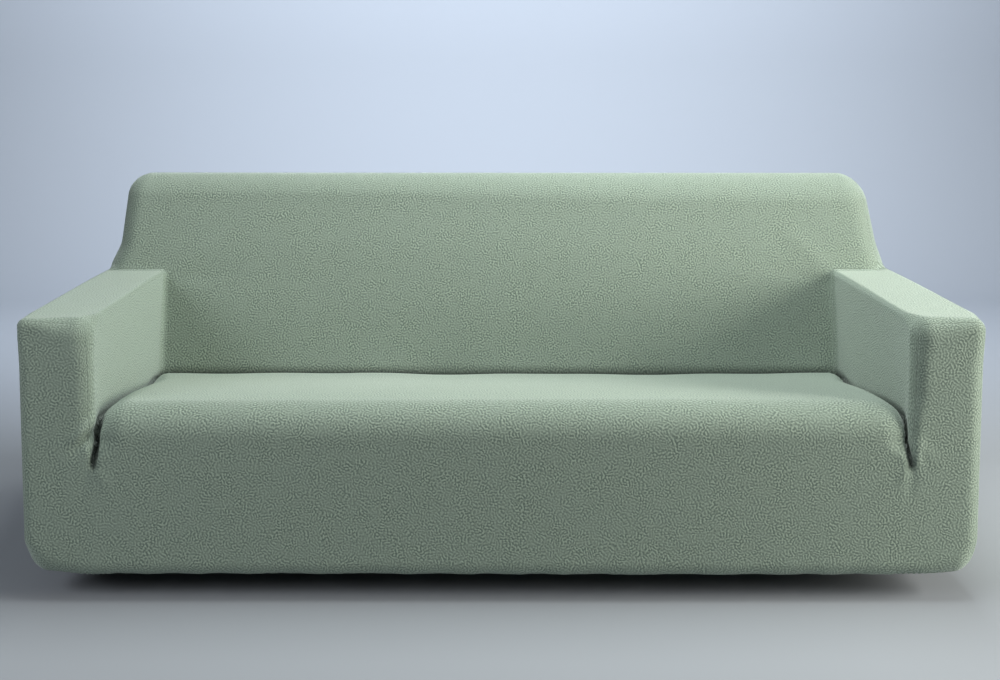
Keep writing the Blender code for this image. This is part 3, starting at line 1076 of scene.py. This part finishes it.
    def crease_shade(self, points: Array, away: Array) -> Array:
        """Share of painted shade in the tuck and the grooves beside the seat, 0 to 1: exp(-(d /
        width)^2).
        """
        fade = smooth_step(self.crease_span, points[:, 2])
        return fade * bell(away, self.crease_shade_width)

    def lift(self, points: Array, away: Array) -> Array:
        """All but the crease: how far the cloth stands off the form along its normal.

        Args:
            points: points of the cloth.
            away: their distances to the nearest seam.

        Returns:
            The distances off the form, in metres.
        """
        height = self.unevenness(points) + self.hem_pleats(points) + self.tuck_waves(points)
        for fold in self.folds:
            height = height + fold.height(points)
        return height + self.seam_dip(points, away)


@dataclass
class ClothMesh:
    """One welded panel: points, quads, place in the cut cloth and each quad's patch."""

    points: Array
    quads: Array
    flat: Array
    owner: Array
    welds_per_metre: ClassVar[float] = 2.0e4
    chunk: ClassVar[int] = 1500

    @classmethod
    def welded(cls, patches: list[Patch]) -> ClothMesh:
        """Joins patches along their common lines.

        Args:
            patches: the panel's patches; common lines hold the same points.

        Returns:
            The welded panel, without the quads that have lost a corner.
        """
        points = np.concatenate([patch.points.reshape(-1, 3) for patch in patches])
        flat = np.concatenate(
            [np.column_stack((patch.across.ravel(), patch.along.ravel())) for patch in patches]
        )
        quads = []
        start = 0
        for patch in patches:
            rows, columns = patch.points.shape[:2]
            index = start + np.arange(rows * columns).reshape(rows, columns)
            corners = (index[:-1, :-1], index[:-1, 1:], index[1:, 1:], index[1:, :-1])
            quads.append(np.stack([corner.ravel() for corner in corners], axis=1))
            start += rows * columns
        keys = np.round(points * cls.welds_per_metre).astype(np.int64)
        _, first, weld = np.unique(keys, axis=0, return_index=True, return_inverse=True)
        joined = weld.ravel()[np.concatenate(quads)]
        ordered = np.sort(joined, axis=1)
        whole = (np.diff(ordered, axis=1) > 0).all(axis=1)
        owner = np.repeat(np.arange(len(patches)), [len(part) for part in quads])
        return cls(points[first], joined[whole], flat[first], owner[whole])

    def edges(self) -> Array:
        """All quads' first edges, then their second ones and so on, in each quad's turn."""
        return np.concatenate([self.quads[:, [n, (n + 1) % 4]] for n in range(4)])

    def border(self) -> Array:
        """Finds the edges that belong to one quad only.

        Returns:
            Pairs of points, in the quad's own turn.
        """
        edges = self.edges()
        keys = np.sort(edges, axis=1)
        _, inverse, counts = np.unique(keys, axis=0, return_inverse=True, return_counts=True)
        return edges[counts[inverse.ravel()] == 1]

    def face_out(self, normals: Array) -> None:
        """Turns every patch's quads so that they look along the form's normals.

        Args:
            normals: the form's normal at every point.
        """
        a, b, c, d = (self.points[self.quads[:, n]] for n in range(4))
        facing = np.cross(c - a, d - b)
        against = (facing * normals[self.quads[:, 0]]).sum(axis=1) < 0.0
        share = np.bincount(self.owner, against) / np.bincount(self.owner)
        turned = (share > 0.5)[self.owner]
        self.quads = np.where(turned[:, None], self.quads[:, ::-1], self.quads)

    def rim_distance(self, counts: Array) -> Array:
        """Distance of every point to the nearest rim point of those that count.

        Args:
            counts: for every point, whether it counts.

        Returns:
            Distances in metres; 1 where no rim point counts.
        """
        rim = np.unique(self.border())
        rim = rim[counts[rim]]
        nearest = np.full(len(self.points), 1.0)
        if not len(rim):
            return nearest
        parts = max(len(self.points) // self.chunk, 1)
        for chunk in np.array_split(np.arange(len(self.points)), parts):
            gaps = self.points[chunk, None, :] - self.points[None, rim, :]
            nearest[chunk] = np.sqrt((gaps ** 2).sum(axis=2).min(axis=1))
        return nearest

    def rim_centres(self, rim: Array) -> Array:
        """Centre of the quad that owns each rim edge.

        Args:
            rim: the rim's edges.

        Returns:
            One point for each edge.
        """
        edges = self.edges()
        size = len(self.points) + 1
        keys = edges[:, 0].astype(np.int64) * size + edges[:, 1]
        order = np.argsort(keys)
        wanted = rim[:, 0].astype(np.int64) * size + rim[:, 1]
        owner = order[np.searchsorted(keys[order], wanted)] % len(self.quads)
        return self.points[self.quads[owner]].mean(axis=1)


class Panel:
    """One sewn panel of the cover as a thin closed sheet."""

    thickness: float = 0.0018
    half_gap: float = 0.00010
    free_hem: float = 0.012
    seat_reach: float = 0.877
    tuck_depth: float = 0.598
    tuck_span: Span = (0.230, 0.335)
    groove_depth: float = 0.006
    groove_foot: float = 0.252
    least_move: float = 1.0e-6

    def __init__(self, name: str, form: CoverForm, wear: Wear) -> None:
        """Keeps what the panel is made from.

        Args:
            name: the panel's node in the frame.
            form: the form under the cloth.
            wear: folds, gathers and seams.
        """
        self.name = name
        self.form = form
        self.wear = wear

    def settle(self, patches: list[Patch]) -> tuple[ClothMesh, Array, Array]:
        """Lays the patches on the form and gives them their folds.

        Args:
            patches: the panel's patches.

        Returns:
            The panel's outer side, the form's normals at its points, and the share of painted
            shade at each point in the tuck and the grooves beside the seat.
        """
        cloth = ClothMesh.welded(patches)
        tucked = self.tucked(cloth.points)
        cloth.points = self.form.settled(cloth.points)
        normals = self.form.outward(cloth.points)
        cloth.face_out(normals)
        lift = self.wear.lift(cloth.points, cloth.rim_distance(cloth.points[:, 2] > self.free_hem))
        to_tuck = cloth.rim_distance(tucked)
        lift = lift + self.wear.crease(cloth.points, to_tuck)
        # Share of painted shade in the tuck and the grooves, kept on the mesh for the material.
        crease_shade = self.wear.crease_shade(cloth.points, to_tuck)
        cloth.points = cloth.points + normals * lift[:, None]
        return cloth, normals, crease_shade

    def tucked(self, points: Array) -> Array:
        """Marks the seams beside and behind the seat, where the cloth is tucked down.

        Args:
            points: points of the panel before it is settled.

        Returns:
            For each point whether a rim there lies in the tuck or in a groove.
        """
        x, depth, z = points.T
        at_seat = (np.abs(x) < self.seat_reach) & (depth < self.tuck_depth)
        at_seat &= (z > self.tuck_span[0]) & (z < self.tuck_span[1])
        return at_seat & ((depth > self.groove_depth) | (z < self.groove_foot))

    def drawn_back(self, cloth: ClothMesh) -> Array:
        """Moves the rim inward in the cloth by half the seam's gap.

        Each rim edge pulls its two points square to itself, towards the middle of its quad.

        Args:
            cloth: the panel's outer side.

        Returns:
            Its points, with those of the rim moved.
        """
        rim = cloth.border()
        inward = np.zeros_like(cloth.points)
        along = cloth.points[rim[:, 1]] - cloth.points[rim[:, 0]]
        toward = cloth.rim_centres(rim) - cloth.points[rim].mean(axis=1)
        square = np.maximum((along ** 2).sum(axis=1), self.least_move ** 2)
        toward = toward - along * ((toward * along).sum(axis=1) / square)[:, None]
        toward = toward / np.maximum(np.linalg.norm(toward, axis=1), TINY)[:, None]
        np.add.at(inward, rim[:, 0], toward)
        np.add.at(inward, rim[:, 1], toward)
        length = np.linalg.norm(inward, axis=1)
        step = self.half_gap / np.maximum(length, self.least_move)
        return cloth.points + inward * np.where(length > self.least_move, step, 0.0)[:, None]

    def build(self, patches: list[Patch], finishes: list[bpy.types.Material]) -> bpy.types.Object:
        """Makes the sheet: outer side, inner side and the rim between them.

        Args:
            patches: the panel's patches.
            finishes: materials of the outer side and of the inner side.

        Returns:
            The finished object, at the origin.
        """
        cloth, normals, crease_shade = self.settle(patches)
        outer = self.drawn_back(cloth)
        inner = outer - normals * self.thickness
        count = len(outer)
        rim = cloth.border()
        bridge = np.stack((rim[:, 1], rim[:, 0], rim[:, 0] + count, rim[:, 1] + count), axis=1)
        quads = np.concatenate((cloth.quads, cloth.quads[:, ::-1] + count, bridge))
        points = np.concatenate((outer, inner)) - np.array((0.0, self.form.s.depth / 2.0, 0.0))
        inside = np.zeros(len(quads), dtype=np.int32)
        inside[len(cloth.quads):2 * len(cloth.quads)] = 1
        smooth = np.arange(len(quads)) < 2 * len(cloth.quads)
        flat = np.concatenate((cloth.flat, cloth.flat))
        crease_shade = np.concatenate((crease_shade, crease_shade))
        return self.as_object(points, quads, flat, crease_shade, inside, smooth, finishes)

    def as_object(
        self,
        points: Array,
        quads: Array,
        flat: Array,
        crease_shade: Array,
        slots: Array,
        smooth: Array,
        finishes: list[bpy.types.Material],
    ) -> bpy.types.Object:
        """Puts the arrays into a mesh with a UV map in metres of cut cloth.

        Args:
            points: places of all points.
            quads: four points of each face.
            flat: place of each point in the cut cloth, in metres.
            crease_shade: share of painted shade at each point in the tuck and the grooves, 0 to 1.
            slots: material slot of each face.
            smooth: whether each face is shaded smooth; the thin rim isn't.
            finishes: the materials.

        Returns:
            The linked object.
        """
        mesh = bpy.data.meshes.new(self.name + "_cloth")
        mesh.vertices.add(len(points))
        mesh.vertices.foreach_set("co", points.astype(np.float32).ravel())
        mesh.loops.add(len(quads) * 4)
        mesh.loops.foreach_set("vertex_index", quads.astype(np.int32).ravel())
        mesh.polygons.add(len(quads))
        starts = np.arange(0, len(quads) * 4, 4, dtype=np.int32)
        mesh.polygons.foreach_set("loop_start", starts)
        mesh.polygons.foreach_set("material_index", slots.astype(np.int32))
        mesh.polygons.foreach_set("use_smooth", smooth)
        layer = mesh.uv_layers.new(name="cut_cloth")
        layer.data.foreach_set("uv", flat[quads.ravel()].astype(np.float32).ravel())
        # Share of painted shade in the tuck and the grooves, read by the material.
        tuck = mesh.attributes.new(name="crease_shade", type="FLOAT", domain="POINT")
        tuck.data.foreach_set("value", crease_shade.astype(np.float32))
        mesh.update()
        mesh.validate()
        for finish in finishes:
            mesh.materials.append(finish)
        sheet = bpy.data.objects.new(self.name + "_cloth", mesh)
        bpy.context.scene.collection.objects.link(sheet)
        return sheet


# ---------------------------------------------------------------------------
# Finishes
# ---------------------------------------------------------------------------


@dataclass(frozen=True)
class KnitFace:
    """One face of the knit: matt, with nearly black painted shade in the tuck and the grooves
    beside the seat.
    """

    # Colour of the painted shade in the tuck and the grooves beside the seat.
    crease_shade_colour: str = "#1E2520"
    roughness: float = 0.90
    specular: float = 0.20

    def gloss(self) -> dict[str, object]:
        """How the face shines, as values of the shader's inputs."""
        return {"Roughness": self.roughness, "Specular IOR Level": self.specular}

    def surface(
        self, tree: bpy.types.NodeTree, place: bpy.types.NodeSocket
    ) -> tuple[bpy.types.NodeSocket, bpy.types.NodeSocket]:
        """Builds the pattern of this face.

        Args:
            tree: the material's node tree.
            place: the place in the cut cloth, in metres.

        Returns:
            The colour and the normal.
        """
        raise NotImplementedError

    def material(self, name: str) -> bpy.types.Material:
        """Builds the material of this face.

        Args:
            name: the material's name.

        Returns:
            The material.
        """
        material = bpy.data.materials.new(name)
        material.use_nodes = True
        tree = material.node_tree
        shader = tree.nodes["Principled BSDF"]
        place = add_node(tree, "ShaderNodeUVMap", {"uv_map": "cut_cloth"})
        colour, normal = self.surface(tree, place.outputs["UV"])
        # Painted shade: the base colour fades to nearly black in the tuck and the grooves beside
        # the seat.
        tuck = add_node(tree, "ShaderNodeAttribute", {"attribute_name": "crease_shade"})
        tucked = add_node(
            tree, "ShaderNodeMix", {"data_type": "RGBA", "in:7": linear(self.crease_shade_colour)},
            {"0": tuck.outputs["Fac"], "6": colour},
        )
        tree.links.new(tucked.outputs[2], shader.inputs["Base Color"])
        tree.links.new(normal, shader.inputs["Normal"])
        for key, value in self.gloss().items():
            shader.inputs[key].default_value = value
        return material


@dataclass(frozen=True)
class StretchJacquard(KnitFace):
    """Polyester and elastane jacquard knit, piece-dyed sage green.

    The knit puckers in short, twisting puffs about 7 mm apart. The colour paints the relief's
    light and shade: a painted highlight on the puffs and painted shade in the grooves between
    them. In the tuck and the grooves beside the seat it paints nearly black shade. The surface
    is matt, with the soft bloom of brushed polyester at grazing angles.
    """

    # Painted highlight on the puffs and painted shade in the grooves between them.
    puff: str = "#94A293"
    groove: str = "#606E64"
    calm: str = "#7F8D80"
    tired: str = "#7D8B80"
    puff_pitch_mm: float = 6.9
    turns_per_patch: float = 1.7
    puff_height_mm: float = 0.55
    puff_span: Span = (0.34, 0.70)
    wander_mm: float = 34.0
    wander_reach: float = 0.006
    fray: float = 0.30
    fray_mm: float = 4.2
    patch_mm: float = 26.0
    patch_span: Span = (0.42, 0.66)
    patch_share: float = 0.62
    mottle_mm: float = 90.0
    mottle_span: Span = (0.35, 0.75)
    mottle_share: float = 0.30
    stitch_pitch_mm: float = 1.5
    stitch_height_mm: float = 0.05
    roughness: float = 0.88
    specular: float = 0.22
    sheen: float = 0.55
    sheen_roughness: float = 0.45
    bloom: str = "#DEEBE3"

    def gloss(self) -> dict[str, object]:
        """How the outer side shines: matt, with a bloom at grazing angles.

        Returns:
            Values of the shader's inputs.
        """
        return super().gloss() | {
            "Sheen Weight": self.sheen,
            "Sheen Roughness": self.sheen_roughness,
            "Sheen Tint": linear(self.bloom),
        }

    def surface(
        self, tree: bpy.types.NodeTree, place: bpy.types.NodeSocket
    ) -> tuple[bpy.types.NodeSocket, bpy.types.NodeSocket]:
        """Builds the puffs, the calmer patches between them and the fine stitches.

        Args:
            tree: the material's node tree.
            place: the place in the cut cloth, in metres.

        Returns:
            The colour and the normal.
        """
        noises = {
            "wander": (self.wander_mm, 1.0),
            "fray": (self.fray_mm, 2.0),
            "patch": (self.patch_mm, 3.0),
            "mottle": (self.mottle_mm, 2.0),
            "stitch": (self.stitch_pitch_mm, 1.0),
        }
        noise = {
            use: add_node(
                tree, "ShaderNodeTexNoise",
                {"noise_dimensions": "2D", "in:Scale": 1000.0 / pitch, "in:Detail": detail},
                {"Vector": place},
            )
            for use, (pitch, detail) in noises.items()
        }
        # The puffs' rows wander: the place moves a few millimetres to and fro.
        centred = add_node(
            tree, "ShaderNodeVectorMath", {"operation": "SUBTRACT", "in:1": (0.5, 0.5, 0.5)},
            {"0": noise["wander"].outputs["Color"]},
        )
        drift = add_node(
            tree, "ShaderNodeVectorMath", {"operation": "SCALE", "in:Scale": self.wander_reach},
            {"0": centred.outputs["Vector"]},
        )
        bent = add_node(
            tree, "ShaderNodeVectorMath", {"operation": "ADD"},
            {"0": place, "1": drift.outputs["Vector"]},
        )
        puffs = add_node(
            tree, "ShaderNodeTexGabor",
            {
                "gabor_type": "2D",
                "in:Scale": 1000.0 / (self.puff_pitch_mm * self.turns_per_patch),
                "in:Frequency": self.turns_per_patch,
                "in:Anisotropy": 0.0,
            },
            {"Vector": bent.outputs["Vector"]},
        )
        frayed = add_node(
            tree, "ShaderNodeMath", {"operation": "MULTIPLY_ADD", "in:1": self.fray},
            {"0": noise["fray"].outputs["Fac"], "2": puffs.outputs["Value"]},
        )
        raised = add_node(
            tree, "ShaderNodeMapRange",
            {
                "interpolation_type": "SMOOTHSTEP",
                "in:From Min": self.puff_span[0] + self.fray / 2.0,
                "in:From Max": self.puff_span[1] + self.fray / 2.0,
            },
            {"Value": frayed.outputs["Value"]},
        )
        # Colour: painted highlight on the puffs over painted shade in the grooves, then calmer
        # patches, then a slow, tired mottle.
        tone = add_node(
            tree, "ShaderNodeMix",
            {"data_type": "RGBA", "in:6": linear(self.groove), "in:7": linear(self.puff)},
            {"0": raised.outputs["Result"]},
        )
        layers = (
            ("patch", self.patch_span, self.patch_share, self.calm),
            ("mottle", self.mottle_span, self.mottle_share, self.tired),
        )
        for use, span, most, colour in layers:
            share = add_node(
                tree, "ShaderNodeMapRange",
                {"in:From Min": span[0], "in:From Max": span[1], "in:To Max": most},
                {"Value": noise[use].outputs["Fac"]},
            )
            tone = add_node(
                tree, "ShaderNodeMix", {"data_type": "RGBA", "in:7": linear(colour)},
                {"0": share.outputs["Result"], "6": tone.outputs[2]},
            )
        fine = add_node(
            tree, "ShaderNodeBump",
            {"in:Strength": 1.0, "in:Distance": self.stitch_height_mm / 1000.0},
            {"Height": noise["stitch"].outputs["Fac"]},
        )
        relief = add_node(
            tree, "ShaderNodeBump",
            {"in:Strength": 1.0, "in:Distance": self.puff_height_mm / 1000.0},
            {"Height": raised.outputs["Result"], "Normal": fine.outputs["Normal"]},
        )
        return tone.outputs[2], relief.outputs["Normal"]


@dataclass(frozen=True)
class KnitReverse(KnitFace):
    """The back of the same knit: flat loops in fine upright ribs, a little greyer and duller."""

    rib: str = "#8B978C"
    valley: str = "#707C73"
    rib_pitch_mm: float = 4.0
    rib_height_mm: float = 0.20
    roughness: float = 0.92
    specular: float = 0.18

    def surface(
        self, tree: bpy.types.NodeTree, place: bpy.types.NodeSocket
    ) -> tuple[bpy.types.NodeSocket, bpy.types.NodeSocket]:
        """Builds the ribs.

        Args:
            tree: the material's node tree.
            place: the place in the cut cloth, in metres.

        Returns:
            The colour and the normal.
        """
        # A wave of Blender's repeats every 2 pi / 20 units of its scaled coordinate.
        ribs = add_node(
            tree, "ShaderNodeTexWave",
            {
                "wave_type": "BANDS",
                "bands_direction": "X",
                "in:Scale": 1000.0 / self.rib_pitch_mm * 2.0 * math.pi / 20.0,
                "in:Distortion": 1.2,
                "in:Detail": 1.0,
                "in:Detail Scale": 0.4,
            },
            {"Vector": place},
        )
        tone = add_node(
            tree, "ShaderNodeMix",
            {"data_type": "RGBA", "in:6": linear(self.valley), "in:7": linear(self.rib)},
            {"0": ribs.outputs["Fac"]},
        )
        relief = add_node(
            tree, "ShaderNodeBump",
            {"in:Strength": 1.0, "in:Distance": self.rib_height_mm / 1000.0},
            {"Height": ribs.outputs["Fac"]},
        )
        return tone.outputs[2], relief.outputs["Normal"]


# ---------------------------------------------------------------------------
# The cover
# ---------------------------------------------------------------------------


@dataclass(frozen=True)
class CutCloth:
    """The flat cut of one panel, in metres, before it is stretched over the form."""

    width: float
    length: float
    area: float
    neighbours: tuple[str, ...]


@dataclass
class Slipcover:
    """The whole cover: seven panels of one knit, each on its own solid."""

    sizes: FormSizes = field(default_factory=FormSizes)
    lines: GridLines = field(default_factory=GridLines)
    wear: Wear = field(default_factory=Wear)
    outside: StretchJacquard = field(default_factory=StretchJacquard)
    inside: KnitReverse = field(default_factory=KnitReverse)
    slot: str = "stretch_knit"

    def cuts(self) -> dict[str, CutCloth]:
        """Flat sizes of the panels; worn, the knit is stretched by about 8 percent each way.

        Returns:
            The flat cut by the panel's name.
        """
        wraps = ("front_and_seat", "back_inside", "back_outside")
        return {
            "front_and_seat": CutCloth(1.92, 0.95, 1.72, ("arm_wrap_left", "arm_wrap_right")),
            "arm_wrap_left": CutCloth(0.82, 0.93, 0.65, wraps),
            "arm_wrap_right": CutCloth(0.82, 0.93, 0.65, wraps),
            "back_inside": CutCloth(1.90, 0.66, 1.13, ("front_and_seat", "back_outside")),
            "back_gusset_left": CutCloth(0.185, 0.22, 0.034, ("back_inside", "back_outside")),
            "back_gusset_right": CutCloth(0.185, 0.22, 0.034, ("back_inside", "back_outside")),
            "back_outside": CutCloth(1.90, 0.76, 1.42, ("back_inside", "arm_wrap_left")),
        }

    def build(self) -> dict[str, bpy.types.Object]:
        """Makes every panel, hides its solid and attaches the panel to the root body.

        Returns:
            The panels' objects by node name.
        """
        form = CoverForm(self.sizes)
        pattern = Pattern(form, self.lines)
        patches = {
            "front_and_seat": pattern.front_and_seat(),
            "arm_wrap_left": pattern.arm_wrap(Side.LEFT),
            "arm_wrap_right": pattern.arm_wrap(Side.RIGHT),
            "back_inside": pattern.back_inside(),
            "back_gusset_left": pattern.back_gusset(Side.LEFT),
            "back_gusset_right": pattern.back_gusset(Side.RIGHT),
            "back_outside": pattern.back_outside(),
        }
        knit = [
            self.outside.material("sage_stretch_jacquard"),
            self.inside.material("jacquard_reverse"),
        ]
        panels = {}
        for name, parts in patches.items():
            panels[name] = Panel(name, form, self.wear).build(parts, knit)
            LOG.info("%s: %d faces", name, len(panels[name].data.polygons))
        for name, cut in self.cuts().items():
            panel = panels[name]
            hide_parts(name)
            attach(panel, "root")
        return panels


# ---------------------------------------------------------------------------
# Studio
# ---------------------------------------------------------------------------


@dataclass(frozen=True)
class SoftLight:
    """One rectangular studio light."""

    name: str
    place: Place
    target: Place
    size: Span
    power: float
    colour: str

    def build(self) -> None:
        """Adds the light, turned to its target."""
        data = bpy.data.lights.new(self.name, "AREA")
        data.shape = "RECTANGLE"
        data.size, data.size_y = self.size
        data.energy = self.power
        data.color = linear(self.colour)[:3]
        lamp = bpy.data.objects.new(self.name, data)
        lamp.location = self.place
        lamp.rotation_euler = aim(self.place, self.target)
        bpy.context.scene.collection.objects.link(lamp)


def aim(place: Place, target: Place) -> Place:
    """Euler angles that turn -Z from place to target, with Z up.

    Args:
        place: where the light or camera stands.
        target: what it looks at.

    Returns:
        The rotation in radians.
    """
    run = np.array(target) - np.array(place)
    flat = math.hypot(run[0], run[1])
    return math.atan2(flat, -run[2]), 0.0, math.atan2(-run[0], run[1])


@dataclass(frozen=True)
class Studio:
    """Pale floor, soft lights and the camera of the photograph."""

    floor_height: float = -0.060
    floor_half: float = 16.0
    floor_front: float = -14.0
    wall_place: float = 3.2
    wall_height: float = 5.0
    cove: float = 1.2
    cove_steps: int = 24
    floor_colour: str = "#90959B"
    floor_roughness: float = 0.9
    sky_colour: str = "#D9DEE4"
    sky_strength: float = 0.04
    lens: float = 47.741
    sensor: float = 36.0
    camera_place: Place = (-0.0416, -3.2130, 1.1027)
    tilt: float = math.radians(5.021)
    shift: Span = (0.0173, -0.160)
    lights: tuple[SoftLight, ...] = (
        SoftLight("overhead", (0.42, 0.06, 2.6), (0.05, 0.1, 0.3), (2.4, 1.6), 84.0, "#FAFEFD"),
        SoftLight("right", (3.2, -1.1, 1.15), (0.3, 0.0, 0.4), (1.4, 1.5), 134.0, "#FFFCF2"),
        SoftLight("left", (-2.6, -2.4, 2.0), (0.0, 0.0, 0.4), (1.6, 1.6), 53.0, "#F8FAFF"),
        SoftLight("backdrop", (0.0, 1.5, 2.6), (0.0, 4.2, 1.7), (5.0, 0.8), 300.0, "#E8F1FF"),
    )

    def sweep(self) -> bpy.types.Mesh:
        """Makes a pale floor that curves up behind: floor, a quarter circle, a wall.

        Returns:
            The sweep's mesh.
        """
        turn = np.linspace(0.0, math.pi / 2.0, self.cove_steps)
        y = np.concatenate(([self.floor_front], self.wall_place + self.cove * np.sin(turn)))
        z = np.concatenate(([0.0], self.cove * (1.0 - np.cos(turn))))
        y = np.append(y, y[-1])
        z = np.append(z, self.wall_height) + self.floor_height
        left = np.column_stack((np.full(len(y), -self.floor_half), y, z))
        right = np.column_stack((np.full(len(y), self.floor_half), y, z))
        index = np.arange(len(y) - 1)
        count = len(y)
        quads = np.stack((index, index + count, index + count + 1, index + 1), axis=1)
        mesh = bpy.data.meshes.new("floor")
        mesh.from_pydata(np.concatenate((left, right)).tolist(), [], quads.tolist())
        mesh.shade_smooth()
        mesh.update()
        return mesh

    def build(self) -> None:
        """Adds floor, world, lights and camera."""
        scene = bpy.context.scene
        mesh = self.sweep()
        # Matt studio paint: pale and even, so that it mirrors nothing of the cover.
        paint = bpy.data.materials.new("pale_floor")
        paint.use_nodes = True
        shader = paint.node_tree.nodes["Principled BSDF"]
        shader.inputs["Base Color"].default_value = linear(self.floor_colour)
        shader.inputs["Roughness"].default_value = self.floor_roughness
        mesh.materials.append(paint)
        floor = bpy.data.objects.new("floor", mesh)
        scene.collection.objects.link(floor)
        world = bpy.data.worlds.new("studio")
        world.use_nodes = True
        sky = world.node_tree.nodes["Background"]
        sky.inputs["Color"].default_value = linear(self.sky_colour)
        sky.inputs["Strength"].default_value = self.sky_strength
        scene.world = world
        for light in self.lights:
            light.build()
        data = bpy.data.cameras.new("camera")
        data.lens = self.lens
        data.sensor_width = self.sensor
        data.shift_x, data.shift_y = self.shift
        camera = bpy.data.objects.new("camera", data)
        camera.location = self.camera_place
        camera.rotation_euler = (math.pi / 2.0 - self.tilt, 0.0, 0.0)
        scene.collection.objects.link(camera)
        scene.camera = camera
        scene.view_settings.view_transform = "Standard"
        LOG.info("studio: %d lights", len(self.lights))


def main() -> None:
    """Loads the frame, dresses the cover and sets the studio."""
    logging.basicConfig(level=logging.INFO, format="%(name)s: %(message)s")
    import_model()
    Slipcover().build()
    Studio().build()


if __name__ == "__main__":
    main()
